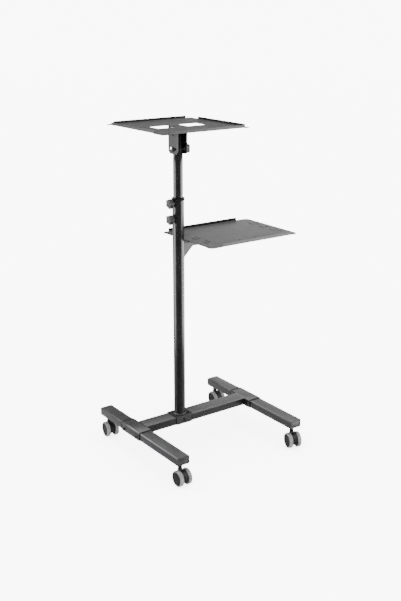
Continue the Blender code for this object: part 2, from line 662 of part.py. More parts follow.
def build_yoke(shelf, upper, finishes):
    low = -CLAMP_DROP - EAR_BELOW_CLAMP
    top = YOKE_TOP - PIVOT_HEIGHT
    outline = channel(EAR_INNER, YOKE_PLATE, low - CUT_OVERRUN, top - YOKE_PLATE, YOKE_BEND)
    reach = EAR_HALF_WIDTH + CUT_OVERRUN
    yoke = add_piece("tilt_yoke", prism(outline, -reach, reach), finishes["coat"], shelf, (0.0, 0.0, 0.0),
                     AGAINST_Y)
    above = top + CUT_OVERRUN
    corners = corner_arcs(-EAR_HALF_WIDTH, EAR_HALF_WIDTH, low, above, EAR_CORNER, 2 * CORNER_STEPS)
    ear = corners[0] + [(EAR_HALF_WIDTH, above), (-EAR_HALF_WIDTH, above)] + corners[3]
    reach = EAR_OUTER + CUT_OVERRUN
    carve(yoke, laid(prism(ear, -reach, reach), (0.0, 0.0, 0.0), ALONG_X), "INTERSECT")
    track = arc_slot(CLAMP_DROP, CLAMP_SHANK + HOLE_PLAY, TILT_LIMIT + TILT_SPARE)
    cuts = [laid(rod(BOLT_HOLE, -reach, reach), (0.0, 0.0, 0.0), ALONG_X),
            laid(prism(track, -reach, reach), (0.0, 0.0, 0.0), ALONG_X)]
    carve(yoke, joined(cuts))
    seat = EAR_OUTER + SEAT_GAP
    pivot = bolt(BOLT_SHANK, 2 * seat, BOLT_HEAD, BOLT_HEAD_HEIGHT, BOLT_HEAD)
    add_piece("tilt_pivot_bolt", pivot, finishes["steel"], upper, (-seat, 0.0, PIVOT_HEIGHT), ALONG_X)
    clamp = bolt(CLAMP_SHANK, 2 * seat + CLAMP_THREAD, CLAMP_HEAD, CLAMP_HEAD_HEIGHT)
    add_piece("tilt_clamp_bolt", clamp, finishes["steel"], upper, (-seat, 0.0, CLAMP_HEIGHT), ALONG_X)


def build_lower_shelf(root, finishes):
    near, far = LOWER_SHELF_NEAR, LOWER_SHELF_FAR
    half = LOWER_SHELF_DEPTH / 2
    short, long = LOWER_LIP_MARGIN, LOWER_LIP_OPEN_MARGIN
    corners = corner_arcs(near, far, -half, half, LOWER_CORNER, 2 * CORNER_STEPS)
    outline = corners[0] + corners[1]
    lips = [lip_run(outline, (far - long, half), (near + short, half), (0.0, 1.0))]
    inner_edge = near + NEAR_EDGE_INSET
    edge_half = half - LOWER_CORNER - NEAR_EDGE_INSET
    outline += corners[2] + [(inner_edge, edge_half), (inner_edge, -edge_half)] + corners[3]
    lips.append(lip_run(outline, (near + long, -half), (far - short, -half), (0.0, -1.0)))
    holes = []
    for row in range(VENT_SLOT_ROWS):
        y = (row - (VENT_SLOT_ROWS - 1) / 2) * VENT_SLOT_PITCH
        for column in (0, 1):
            shift = (2 * column - 1) * SLOT_ROW_STAGGER
            for x in (near + NEAR_ROW_INSET + column * SLOT_ROW_SPACING,
                      far - FAR_ROW_INSET - column * SLOT_ROW_SPACING):
                holes.append(slot(x, y + shift, VENT_SLOT_LENGTH, VENT_SLOT_WIDTH))
    for k in range(SHELF_HOLE_COUNT):
        x = near + SHELF_HOLE_START + k * SHELF_HOLE_PITCH
        holes.append(circle(SHELF_HOLE_RADIUS, BOLT_STEPS, (x, -half + SHELF_HOLE_INSET)))
    for x in (NEAR_SCREW_X, FAR_SCREW_X):
        holes.append(circle(SCREW_SHANK + HOLE_PLAY, BOLT_STEPS, (x, 0.0)))
    folded_sheet("lower_shelf", outline, lips, LOWER_LIP_HEIGHT, holes, finishes["coat"], root,
                 (0.0, 0.0, LOWER_SHELF_FLOOR))


def build_arm(root, finishes):
    outline = channel(ARM_HALF_WIDTH - ARM_SHEET, ARM_SHEET, ARM_BOTTOM, ARM_TOP - ARM_SHEET, ARM_BEND)
    arm = add_piece("shelf_arm", prism(outline, ARM_ROOT, ARM_END), finishes["coat"], root, (0.0, 0.0, 0.0),
                    ALONG_X)
    foot = LOWER_SHELF_FLOOR - GUSSET_FOOT_DROP
    seam = ARM_TOP - ARM_SHEET / 2
    web = [(ARM_ROOT, foot), (LOWER_TUBE_RADIUS, foot), (GUSSET_REACH, ARM_BOTTOM), (GUSSET_REACH, seam),
           (ARM_ROOT, seam)]
    gusset = prism(web, -GUSSET_THICKNESS / 2, GUSSET_THICKNESS / 2)
    carve(arm, laid(gusset, (0.0, 0.0, 0.0), AGAINST_Y), "UNION")
    cope = rod(LOWER_TUBE_RADIUS + SEAT_GAP, foot - CUT_OVERRUN, ARM_TOP + CUT_OVERRUN, TUBE_STEPS)
    cuts = [laid(cope, (0.0, 0.0, 0.0), UPWARD)]
    screw_seat = ARM_TOP - ARM_SHEET - SEAT_GAP
    screw_tip = LOWER_SHELF_FLOOR + SHEET - SCREW_TIP_DROP
    for name, x in (("near", NEAR_SCREW_X), ("far", FAR_SCREW_X)):
        hole = rod(SCREW_SHANK + HOLE_PLAY, -CUT_OVERRUN, CUT_OVERRUN)
        cuts.append(laid(hole, (x, 0.0, ARM_TOP), UPWARD))
        screw = bolt(SCREW_SHANK, screw_tip - screw_seat, SCREW_HEAD, SCREW_HEAD_HEIGHT)
        add_piece("shelf_screw_" + name, screw, finishes["steel"], root, (x, 0.0, screw_seat), UPWARD)
    carve(arm, joined(cuts))


# Casters

def wheel():
    """A wheel whose recessed inner face is at zero, with a round shoulder at its outer face."""
    bore = AXLE_RADIUS + SEAT_GAP
    bore_end = AXLE_BITE + SEAT_GAP
    rim = WHEEL_RADIUS - WHEEL_RIM
    flat = WHEEL_WIDTH - WHEEL_SHOULDER
    shoulder_run = WHEEL_RADIUS - WHEEL_DISC_RADIUS
    round_off = [(WHEEL_DISC_RADIUS + shoulder_run * cos(turn), flat + WHEEL_SHOULDER * sin(turn))
                 for turn in (0.0, pi / 4, pi / 2)]
    profile = [(0.0, bore_end), (bore, bore_end), (bore, 0.0), (WHEEL_HUB_RADIUS, 0.0),
               (WHEEL_HUB_RADIUS, WHEEL_RECESS), (rim, WHEEL_RECESS), (rim, 0.0), (WHEEL_RADIUS, 0.0)]
    return turned(profile + round_off + [(0.0, WHEEL_WIDTH)], WHEEL_STEPS)


def lever_outline():
    """A round boss with a flat pedal that rises away from the caster's neck."""
    direction = pi - LEVER_SLOPE
    opening = asin(LEVER_THICKNESS / 2 / LEVER_BOSS)
    outline = arc((0.0, 0.0), LEVER_BOSS, direction + opening, direction + 2 * pi - opening, 4 * CORNER_STEPS)
    along = (cos(direction), sin(direction))
    for half in (-LEVER_THICKNESS / 2, LEVER_THICKNESS / 2):
        outline.append((LEVER_REACH * along[0] - half * along[1], LEVER_REACH * along[1] + half * along[0]))
    return outline


def build_caster(corner, x, y, turn, braked, root, finishes):
    stem = turned([(STEM_PIN, STEM_PIN_FOOT), (STEM_PIN, STEM_COLLAR_FOOT), (STEM_COLLAR, STEM_COLLAR_FOOT),
                   (STEM_COLLAR, CASTER_HEIGHT - SEAT_GAP), (STEM_THREAD, CASTER_HEIGHT - SEAT_GAP),
                   (STEM_THREAD, CASTER_HEIGHT + STEM_THREAD_LENGTH)], BOLT_STEPS)
    add_piece("caster_stem_" + corner, stem, finishes["steel"], root, (x, y, 0.0))
    swivel = add_object("swivel_" + corner, None, root, (x, y, 0.0))
    swivel.rotation_euler = (0.0, 0.0, turn)

    half = WHEEL_GAP / 2 - HOUSING_SIDE_GAP
    outline = arc((-CASTER_TRAIL, WHEEL_RADIUS), HOUSING_RADIUS, -HOUSING_SKIRT, pi + HOUSING_SKIRT,
                  6 * CORNER_STEPS)
    housing = add_piece("caster_housing_" + corner, prism(outline, -half, half), finishes["plastic"], swivel,
                        (0.0, 0.0, 0.0), ALONG_X)
    neck_top = STEM_COLLAR_FOOT - SEAT_GAP
    carve(housing, rod(NECK_RADIUS, NECK_FOOT, neck_top, 2 * BOLT_STEPS), "UNION")
    hole = AXLE_RADIUS + SEAT_GAP
    cuts = [rod(STEM_PIN + SEAT_GAP, STEM_PIN_FOOT - SEAT_GAP, neck_top + CUT_OVERRUN),
            laid(rod(hole, -half - CUT_OVERRUN, half + CUT_OVERRUN), (0.0, -CASTER_TRAIL, WHEEL_RADIUS), ALONG_X)]
    carve(housing, joined(cuts))

    axle_end = WHEEL_GAP / 2 + AXLE_BITE
    axle_place = (0.0, -CASTER_TRAIL, WHEEL_RADIUS)
    add_piece("caster_axle_" + corner, rod(AXLE_RADIUS, -axle_end, axle_end), finishes["steel"], swivel,
              axle_place, ALONG_X)
    for hand, side, axes in (("left", -1, AGAINST_X), ("right", 1, ALONG_X)):
        place = (side * WHEEL_GAP / 2, -CASTER_TRAIL, WHEEL_RADIUS)
        add_piece("caster_wheel_" + hand + "_" + corner, wheel(), finishes["tread"], swivel, place, axes)
    if braked:
        radius = HOUSING_RADIUS + SEAT_GAP + LEVER_BOSS
        height = WHEEL_RADIUS + sqrt(radius ** 2 - (CASTER_TRAIL - LEVER_SET_BACK) ** 2)
        add_piece("brake_lever_" + corner, prism(lever_outline(), -LEVER_HALF_WIDTH, LEVER_HALF_WIDTH),
                  finishes["plastic"], swivel, (0.0, -LEVER_SET_BACK, height), ALONG_X)


def footprint_middle():
    """The middle of the table's outline, seen from above."""
    state = bpy.context.evaluated_depsgraph_get()
    places = []
    for item in bpy.data.objects:
        if item.type == "MESH" and not item.hide_render:
            shown = item.evaluated_get(state)
            mesh = shown.to_mesh()
            places += [item.matrix_world @ vertex.co for vertex in mesh.vertices]
            shown.to_mesh_clear()
    xs = [place.x for place in places]
    ys = [place.y for place in places]
    return (min(xs) + max(xs)) / 2, (min(ys) + max(ys)) / 2


def main():
    for item in list(bpy.data.objects):
        bpy.data.objects.remove(item, do_unlink=True)
    finishes = {
        "coat": surface("black_powder_coat", (0.030, 0.030, 0.031), 0.48),
        "plastic": surface("black_plastic", (0.020, 0.020, 0.021), 0.42),
        "steel": surface("blackened_steel", (0.018, 0.018, 0.019), 0.38, 0.6),
        "tread": surface("grey_tread", (0.30, 0.30, 0.31), 0.55),
    }
    root = add_object("table", None, None)
    upper = add_object("post_slide", None, root)
    shelf = add_object("shelf_tilt", None, upper, (0.0, 0.0, PIVOT_HEIGHT))
    for side, x, outward in (("left", -LEFT_LEG_OFFSET, -1), ("right", RIGHT_LEG_OFFSET, 1)):
        build_leg(side, x, root, finishes)
        build_saddle(side, x, outward, root, finishes)
    build_beam(root, finishes)
    build_lower_post(root, finishes)
    build_upper_post(upper, finishes)
    build_knobs(root, upper, finishes)
    build_upper_shelf(shelf, finishes)
    build_yoke(shelf, upper, finishes)
    build_lower_shelf(root, finishes)
    build_arm(root, finishes)
    build_caster("front_left", -LEFT_LEG_OFFSET, FRONT_CASTER_Y, FRONT_LEFT_TURN, True, root, finishes)
    build_caster("front_right", RIGHT_LEG_OFFSET, FRONT_CASTER_Y, FRONT_RIGHT_TURN, True, root, finishes)
    build_caster("rear_left", -LEFT_LEG_OFFSET, REAR_CASTER_Y, REAR_LEFT_TURN, False, root, finishes)
    build_caster("rear_right", RIGHT_LEG_OFFSET, REAR_CASTER_Y, REAR_RIGHT_TURN, False, root, finishes)
    bpy.context.view_layer.update()
    x, y = footprint_middle()
    root.location = (-x, -y, 0.0)
    bpy.context.view_layer.update()


main()
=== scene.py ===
import math

import bmesh
import bpy
import numpy as np
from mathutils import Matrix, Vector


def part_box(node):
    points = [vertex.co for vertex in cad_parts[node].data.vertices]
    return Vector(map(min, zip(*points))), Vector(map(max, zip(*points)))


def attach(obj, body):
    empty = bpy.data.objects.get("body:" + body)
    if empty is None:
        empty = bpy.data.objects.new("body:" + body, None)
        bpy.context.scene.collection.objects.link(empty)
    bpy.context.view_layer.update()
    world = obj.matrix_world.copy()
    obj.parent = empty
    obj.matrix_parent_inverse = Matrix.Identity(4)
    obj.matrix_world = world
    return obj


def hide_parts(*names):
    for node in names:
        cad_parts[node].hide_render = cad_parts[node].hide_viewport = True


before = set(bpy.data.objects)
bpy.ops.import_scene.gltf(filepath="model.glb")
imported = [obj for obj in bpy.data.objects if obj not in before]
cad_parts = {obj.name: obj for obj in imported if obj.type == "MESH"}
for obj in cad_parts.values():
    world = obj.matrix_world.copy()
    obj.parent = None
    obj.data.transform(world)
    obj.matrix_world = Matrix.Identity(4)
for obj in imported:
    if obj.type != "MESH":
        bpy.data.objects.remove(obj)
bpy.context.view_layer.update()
print("stage: the packed table is loaded")


def gridShape(points, wrapRows=False, wrapColumns=False, capped=False):
    # Each cell of the grid is one face between two rows and two columns of points. Caps close its first and last row
    rows, columns = points.shape[:2]
    index = np.arange(rows * columns).reshape(rows, columns)
    caps = [index[0].tolist(), index[-1].tolist()] if capped else []
    if wrapRows:
        index = np.vstack([index, index[:1]])
    if wrapColumns:
        index = np.hstack([index, index[:, :1]])
    cells = np.stack([index[:-1, :-1], index[:-1, 1:], index[1:, 1:], index[1:, :-1]], -1)
    return points.reshape(-1, 3), cells.reshape(-1, 4).tolist() + caps


def joinShapes(*shapes):
    # The faces of each shape are counted on from the points of those before it
    points, faces, start = [], [], 0
    for shapePoints, shapeFaces in shapes:
        points.append(shapePoints)
        faces += [[corner + start for corner in face] for face in shapeFaces]
        start += len(shapePoints)
    return np.vstack(points), faces


def turnedShape(profile, steps, closed=False):
    # A profile of radius and height goes round z: x = r cos a, y = r sin a
    profile = np.asarray(profile, float)
    angle = np.arange(steps) * 2 * np.pi / steps
    ring = np.stack([np.cos(angle), np.sin(angle)], -1)
    flat = profile[:, None, 0, None] * ring[None]
    height = np.broadcast_to(profile[:, None, 1, None], (len(profile), steps, 1))
    return gridShape(np.concatenate([flat, height], -1), wrapRows=closed, wrapColumns=True)


def insetOutline(outline, depth):
    # Each point moves inward along the mean of its two edges' normals, further at sharp corners
    outline = np.asarray(outline, float)
    edge = np.roll(outline, -1, 0) - outline
    edge /= np.maximum(np.linalg.norm(edge, axis=1, keepdims=True), 1e-12)
    normal = np.stack([edge[:, 1], -edge[:, 0]], -1)
    mean = normal + np.roll(normal, 1, 0)
    mean /= np.maximum((mean * mean).sum(1, keepdims=True) / 2, 1e-6)
    return outline - depth * mean


def prismShape(outline, low, high, bevel=0.0, bevelSteps=3):
    # An outline runs from low to high, and its ends shrink along a quarter circle: inset = b(1 - sin t)
    turn = np.linspace(0, np.pi / 2, bevelSteps + 1)
    inset = bevel * (1 - np.sin(turn))
    rise = bevel * (1 - np.cos(turn))
    levels = np.concatenate([low + rise, high - rise[::-1]])
    insets = np.concatenate([inset, inset[::-1]])
    rows = [np.column_stack([insetOutline(outline, d), np.full(len(outline), z)]) for d, z in zip(insets, levels)]
    return gridShape(np.array(rows), wrapColumns=True, capped=True)


def arcPoints(centre, radius, start, end, steps):
    # Points of a circle from one angle to another
    angle = np.linspace(start, end, steps + 1)
    return np.column_stack([centre[0] + radius * np.cos(angle), centre[1] + radius * np.sin(angle)])


def roundedBox(width, height, radius, steps=6):
    # A rectangle whose corners are quarter circles
    x, y, quarter = width / 2 - radius, height / 2 - radius, np.pi / 2
    centres = ((x, -y), (x, y), (-x, y), (-x, -y))
    return np.vstack([arcPoints(c, radius, (k - 1) * quarter, k * quarter, steps) for k, c in enumerate(centres)])


def channelOutline(inner, wall, low, ceiling, bend, steps=8):
    # An inverted U with round bends: its left half and that half's mirror image
    outer = inner + wall
    centre = (bend - outer, ceiling + wall - bend)
    inside = np.vstack([[(-outer, low), (-inner, low)], arcPoints(centre, bend - wall, np.pi, np.pi / 2, steps)])
    outside = arcPoints(centre, bend, np.pi / 2, np.pi, steps)
    return np.vstack([inside, inside[::-1] * (-1, 1), outside[::-1] * (-1, 1), outside])


def laidShape(shape, place, across=(1, 0, 0), up=(0, 1, 0)):
    # Local x, y and z go along across, up and their cross product
    points, faces = shape
    axes = np.array([across, up, np.cross(across, up)], float)
    return points @ axes + np.asarray(place, float), faces


roundSteps = 48  # sides of the small round parts
alongX, againstX = ((0, 1, 0), (0, 0, 1)), ((0, -1, 0), (0, 0, 1))
alongY, againstY = ((-1, 0, 0), (0, 0, 1)), ((1, 0, 0), (0, 0, 1))
downward = ((1, 0, 0), (0, -1, 0))


def sizesOf(sizes, names):
    # The sizes with these names, which are parted by spaces
    return [sizes[name] for name in names.split()]


def turnMatrix(angle):
    # Points times this matrix turn about the vertical
    return np.array([[math.cos(angle), math.sin(angle), 0], [-math.sin(angle), math.cos(angle), 0], [0, 0, 1]])


def beadShape(path, sizes, steps=10):
    # A weld bead: a circle goes along a path. Once per pitch its radius swells from 0.82 to 1 of the full one, and it
    # shrinks at both ends
    radius, pitch = sizesOf(sizes, "radius pitch")
    ahead = np.gradient(path, axis=0)
    ahead /= np.linalg.norm(ahead, axis=1, keepdims=True)
    side = np.cross(ahead, [0.0, 0.0, 1.0])
    side[np.linalg.norm(side, axis=1) < 0.5] = (1.0, 0.0, 0.0)
    side /= np.linalg.norm(side, axis=1, keepdims=True)
    top = np.cross(side, ahead)
    run = np.concatenate([[0], np.cumsum(np.linalg.norm(np.diff(path, axis=0), axis=1))])
    swell = radius * (0.82 + 0.18 * np.abs(np.cos(np.pi * run / pitch)))
    swell *= np.clip(np.minimum(run, run[-1] - run) / (2 * radius) + 0.25, 0.25, 1) ** 0.5
    angle = np.arange(steps) * 2 * np.pi / steps
    ring = np.cos(angle)[None, :, None] * side[:, None] + np.sin(angle)[None, :, None] * top[:, None]
    return gridShape(path[:, None] + swell[:, None, None] * ring, wrapColumns=True, capped=True)


def addObject(name, data):
    item = bpy.data.objects.new(name, data)
    bpy.context.scene.collection.objects.link(item)
    return item


def makePiece(name, shape, material, body, replaced=(), sharp=32):
    # Doubles are merged, normals turned outward, and edges past the sharp angle in degrees stay crisp
    points, faces = shape
    mesh = bpy.data.meshes.new(name)
    mesh.from_pydata(points.tolist(), [], faces)
    work = bmesh.new()
    work.from_mesh(mesh)
    bmesh.ops.remove_doubles(work, verts=work.verts, dist=2e-6)
    bmesh.ops.recalc_face_normals(work, faces=work.faces)
    work.to_mesh(mesh)
    work.free()
    mesh.shade_smooth()
    mesh.set_sharp_from_angle(angle=math.radians(sharp))
    mesh.materials.append(material)
    piece = addObject(name, mesh)
    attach(piece, body)
    if replaced:
        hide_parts(*replaced)
    return piece


def fillInputs(tree, node, values):
    # A value is set, and another node's output is linked
    for key, value in values.items():
        if isinstance(value, bpy.types.NodeSocket):
            tree.links.new(value, node.inputs[key])
        else:
            node.inputs[key].default_value = value


def blankMaterial(name, colour, roughness, specular):
    material = bpy.data.materials.new(name)
    material.use_nodes = True
    tree = material.node_tree
    shader = tree.nodes["Principled BSDF"]
    fillInputs(tree, shader, {"Base Color": (*colour, 1), "Roughness": roughness, "Specular IOR Level": specular})
    return material, tree, shader


def noiseNode(tree, scale, detail, rough):
    place = tree.nodes.new("ShaderNodeTexCoord").outputs["Object"]
    noise = tree.nodes.new("ShaderNodeTexNoise")
    fillInputs(tree, noise, {"Vector": place, "Scale": scale, "Detail": detail, "Roughness": rough})
    return noise.outputs["Fac"]


def rangeNode(tree, value, low, high, outLow, outHigh):
    # A value between low and high becomes one between outLow and outHigh
    ramp = tree.nodes.new("ShaderNodeMapRange")
    fillInputs(tree, ramp, {"Value": value, "From Min": low, "From Max": high, "To Min": outLow, "To Max": outHigh})
    return ramp.outputs["Result"]


def mixNode(tree, amount, first, second):
    # From the first, a colour with its alpha or another node's output, to the second, a colour without alpha
    mix = tree.nodes.new("ShaderNodeMix")
    mix.data_type = "RGBA"
    fillInputs(tree, mix, {"Factor": amount, "A": first, "B": (*second, 1)})
    return mix.outputs["Result"]


def bumpNode(tree, shader, height, strength, distance):
    bump = tree.nodes.new("ShaderNodeBump")
    fillInputs(tree, bump, {"Height": height, "Strength": strength, "Distance": distance})
    fillInputs(tree, shader, {"Normal": bump.outputs["Normal"]})


# Powder coat: a fine orange peel, patches of tone and gloss, and a colour on what faces up: a little dust on most
# pieces, and painted shade on the post's foot, where it darkens the top. Patches, dust and peel are noises of a scale,
# detail and roughness, and the ranges say between which of their values they act
coatLooks = {"dark": (0.0020, 0.0020, 0.0021), "light": (0.0034, 0.0034, 0.0035), "dustAndShade": (0.022, 0.022, 0.0225),
             "dustAndShadeAmount": 0.28, "dustAndShadeFrom": 0.75, "dustAndShadeNoise": (45, 5, 0.7), "dustAndShadeRange": (0.3, 0.7, 0.8, 1),
             "patches": (14, 4, 0.6), "toneRange": (0.35, 0.65), "glossRange": (0.3, 0.7), "roughness": (0.265, 0.315),
             "specular": 0.45, "peel": (900, 3, 0.55), "peelHeight": 0.00003, "peelStrength": 0.35}


def powderCoat(name, looks):
    material, tree, shader = blankMaterial(name, looks["dark"], looks["roughness"][0], looks["specular"])
    patches = noiseNode(tree, *looks["patches"])
    tone = mixNode(tree, rangeNode(tree, patches, *looks["toneRange"], 0, 1), (*looks["dark"], 1), looks["light"])
    # What faces up takes a colour through a grainy mask: a little dust, except on the post's foot, where it is painted
    # shade on the top
    split = tree.nodes.new("ShaderNodeSeparateXYZ")
    fillInputs(tree, split, {"Vector": tree.nodes.new("ShaderNodeTexCoord").outputs["Normal"]})
    facing = rangeNode(tree, split.outputs["Z"], looks["dustAndShadeFrom"], 1.0, 0, looks["dustAndShadeAmount"])
    grain = rangeNode(tree, noiseNode(tree, *looks["dustAndShadeNoise"]), *looks["dustAndShadeRange"])
    dustAndShadeMask = tree.nodes.new("ShaderNodeMath")
    dustAndShadeMask.operation = "MULTIPLY"
    fillInputs(tree, dustAndShadeMask, {0: facing, 1: grain})
    dustedAndShaded = mixNode(tree, dustAndShadeMask.outputs["Value"], tone, looks["dustAndShade"])
    gloss = rangeNode(tree, patches, *looks["glossRange"], *looks["roughness"])
    fillInputs(tree, shader, {"Base Color": dustedAndShaded, "Roughness": gloss})
    bumpNode(tree, shader, noiseNode(tree, *looks["peel"]), looks["peelStrength"], looks["peelHeight"])
    return material


# Moulded plastic: a fine spark texture and faint flow marks
plasticLooks = {"colour": (0.006, 0.006, 0.0063), "worn": (0.013, 0.013, 0.0136), "marks": (60, 4, 0.6),
                "toneRange": (0.4, 0.7), "glossRange": (0.3, 0.7), "roughness": (0.36, 0.50), "specular": 0.28,
                "grain": (1500, 2, 0.5), "grainHeight": 0.00008, "grainStrength": 0.4}


def mouldedPlastic(name, looks):
    material, tree, shader = blankMaterial(name, looks["colour"], looks["roughness"][0], looks["specular"])
    marks = noiseNode(tree, *looks["marks"])
    tone = mixNode(tree, rangeNode(tree, marks, *looks["toneRange"], 0, 1), (*looks["colour"], 1), looks["worn"])
    gloss = rangeNode(tree, marks, *looks["glossRange"], *looks["roughness"])
    fillInputs(tree, shader, {"Base Color": tone, "Roughness": gloss})
    bumpNode(tree, shader, noiseNode(tree, *looks["grain"]), looks["grainStrength"], looks["grainHeight"])
    return material


# Soft tread: matt grey with fine scuffs
treadLooks = dict(plasticLooks, colour=(0.036, 0.036, 0.037), worn=(0.066, 0.066, 0.067), roughness=(0.55, 0.75),
                  specular=0.35, grain=(700, 2, 0.5), grainHeight=0.00010)

# Blackened steel of screws and pins
steelLooks = dict(plasticLooks, colour=(0.004, 0.004, 0.0043), worn=(0.009, 0.009, 0.0089), roughness=(0.32, 0.48),
                  specular=0.10, grain=(1100, 2, 0.5), grainHeight=0.00004)
steelMetallic = 0.3

coatMaterial = powderCoat("satinPowderCoat", coatLooks)
postMaterial = powderCoat("postPowderCoat", dict(coatLooks, roughness=(0.19, 0.22), peelHeight=0.00001))
shelfLooks = dict(coatLooks, dustAndShade=(0.030, 0.030, 0.0305), dustAndShadeAmount=0.55, roughness=(0.30, 0.38),
                  peel=(700, 3, 0.55))
shelfMaterial = powderCoat("shelfPowderCoat", shelfLooks)
lowerShelfMaterial = powderCoat("lowerShelfPowderCoat", dict(shelfLooks, dustAndShade=(0.039, 0.039, 0.0395)))
plasticMaterial = mouldedPlastic("grainedPlastic", plasticLooks)
discMaterial = mouldedPlastic("wheelDiscPlastic", dict(plasticLooks, colour=(0.0025, 0.0025, 0.0026),
                                                       worn=(0.0055, 0.0055, 0.0056), specular=0.05))
casterMaterial = mouldedPlastic("casterPlastic", dict(plasticLooks, colour=(0.0020, 0.0020, 0.0021),
                                                      worn=(0.0050, 0.0050, 0.0051), specular=0.10))
collarMaterial = mouldedPlastic("collarPlastic", dict(plasticLooks, colour=(0.0015, 0.0015, 0.0016),
                                                      worn=(0.0035, 0.0035, 0.0036), specular=0.04))
# Painted shade: on the foot the colour laid on what faces up is darker than the coat, so its top is painted darker than
# its sides
footMaterial = powderCoat("footPowderCoat", dict(coatLooks, dark=(0.006, 0.006, 0.0062), light=(0.009, 0.009, 0.0092),
                                                 dustAndShade=(0.0015, 0.0015, 0.0015), dustAndShadeAmount=1.0, specular=0.12,
                                                 roughness=(0.60, 0.72)))
weldMaterial = powderCoat("weldPowderCoat", dict(coatLooks, dustAndShadeAmount=0.0, specular=0.7, roughness=(0.16, 0.26)))
# Matt black for the beads that paint the shadow in the gaps at the ends of the saddles and of the post's foot
shadeBeadMaterial = mouldedPlastic("paintedShadeBead", dict(plasticLooks, colour=(0.002, 0.002, 0.002), specular=0.08,
                                                   worn=(0.004, 0.004, 0.004), roughness=(0.6, 0.8)))
treadMaterial = mouldedPlastic("wheelTread", treadLooks)
steelMaterial = mouldedPlastic("blackenedSteel", steelLooks)
steelMaterial.node_tree.nodes["Principled BSDF"].inputs["Metallic"].default_value = steelMetallic
print("stage: materials are ready")


# Legs and cross beam, with rounded long edges
tubeSizes = {"legCorner": 0.0034, "beamCorner": 0.0032, "endBevel": 0.0003}


def boxTube(name, node, along, corner):
    # A rounded rectangle fills the node's box and runs along its length
    low, high = np.array(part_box(node))
    size = high - low
    k, way = {"x": (0, alongX), "y": (1, againstY)}[along]
    shape = prismShape(roundedBox(size[1 - k], size[2], corner), -size[k] / 2, size[k] / 2, tubeSizes["endBevel"])
    makePiece(name, laidShape(shape, (low + high) / 2, *way), coatMaterial, "base", [node])


boxTube("legTubeLeft", "leg_left", "y", tubeSizes["legCorner"])
boxTube("legTubeRight", "leg_right", "y", tubeSizes["legCorner"])
boxTube("beamTube", "cross_beam", "x", tubeSizes["beamCorner"])

# End caps: a face with a soft edge and a shallow moulded line inside it, over a plug that goes into the leg
capSizes = {"corner": 0.0034, "smallestCorner": 0.0006, "edge": 0.0012, "lineInset": 0.0040, "lineHalf": 0.0008,
            "lineDepth": 0.0004, "thickness": 0.0020, "plugInset": 0.0018, "plugEnd": 0.0100}


def endCap(name, node, outward):
    # Rows of inset and depth: the line, the soft edge as a quarter circle, the side and the plug
    low, high = np.array(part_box(node))
    width, height = high[0] - low[0], high[2] - low[2]
    edge, line, half, deep = sizesOf(capSizes, "edge lineInset lineHalf lineDepth")
    thickness, plug = sizesOf(capSizes, "thickness plugInset")
    rows = [(line + 2 * half, 0.0), (line + 1.4 * half, deep), (line + 0.6 * half, deep), (line, 0.0)]
    rows += arcPoints((edge, edge), edge, -np.pi / 2, -np.pi, 4).tolist()
    rows += [(0.0, thickness), (plug, thickness), (plug, capSizes["plugEnd"])]
    rings = []
    for inset, depth in rows:
        corner = max(capSizes["corner"] - inset, capSizes["smallestCorner"])
        outline = roundedBox(width - 2 * inset, height - 2 * inset, corner)
        rings.append(np.column_stack([outline, np.full(len(outline), depth)]))
    place = ((low[0] + high[0]) / 2, high[1] if outward > 0 else low[1], (low[2] + high[2]) / 2)
    shape = gridShape(np.array(rings), wrapColumns=True, capped=True)
    shape = laidShape(shape, place, *(againstY if outward > 0 else alongY))
    makePiece(name, shape, plasticMaterial, "base", [node], sharp=40)


for end, outward in (("front", -1), ("rear", 1)):
    for hand in ("left", "right"):
        endCap("cap" + end.title() + hand.title(), "end_cap_" + end + "_" + hand, outward)

# Saddles over the legs and the post's foot over the beam
saddleSizes = {"wall": 0.0020, "bend": 0.0042, "bevel": 0.0004}
footSizes = {"wall": 0.0025, "bend": 0.0044, "bevel": 0.0005}


def bentChannel(name, node, k, way, sizes, material):
    # A bent channel fills the node's box and runs along its axis k
    low, high = np.array(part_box(node))
    wall, half = sizes["wall"], (high[k] - low[k]) / 2
    outline = channelOutline((high[1 - k] - low[1 - k]) / 2 - wall, wall, low[2], high[2] - wall, sizes["bend"])
    shape = prismShape(outline, -half, half, sizes["bevel"], 2)
    place = (low + high) / 2 * (1, 1, 0)
    makePiece(name, laidShape(shape, place, *way), material, "base", [node])
    return place[0], place[1], float(high[2])


bentChannel("saddlePlateLeft", "saddle_left", 1, againstY, saddleSizes, coatMaterial)
bentChannel("saddlePlateRight", "saddle_right", 1, againstY, saddleSizes, coatMaterial)
postX, postY, footTop = bentChannel("postFoot", "post_foot_bracket", 0, alongX, footSizes, footMaterial)


# Bolts: a low round head with a hexagon socket, a shank, and a chamfered hexagon nut at the far end
boltSizes = {"socketShare": 0.50, "socketDepthShare": 0.62, "socketMouth": 1.14, "domeStart": 0.25, "domeRise": 0.7,
             "nutFootShare": 0.86, "nutFoot": 0.0005, "nutTipShare": 0.88, "nutTip": 0.0006, "nutBore": 1.02}
throughBolt = {"shank": 0.003, "head": 0.0053, "height": 0.0036, "nut": 0.0053, "dome": 0.30, "socket": True}
topBolt = dict(throughBolt, head=0.0046, nut=0.0)
domedBolt = {"shank": 0.0038, "head": 0.0085, "height": 0.0045, "nut": 0.0, "dome": 0.75, "socket": False}


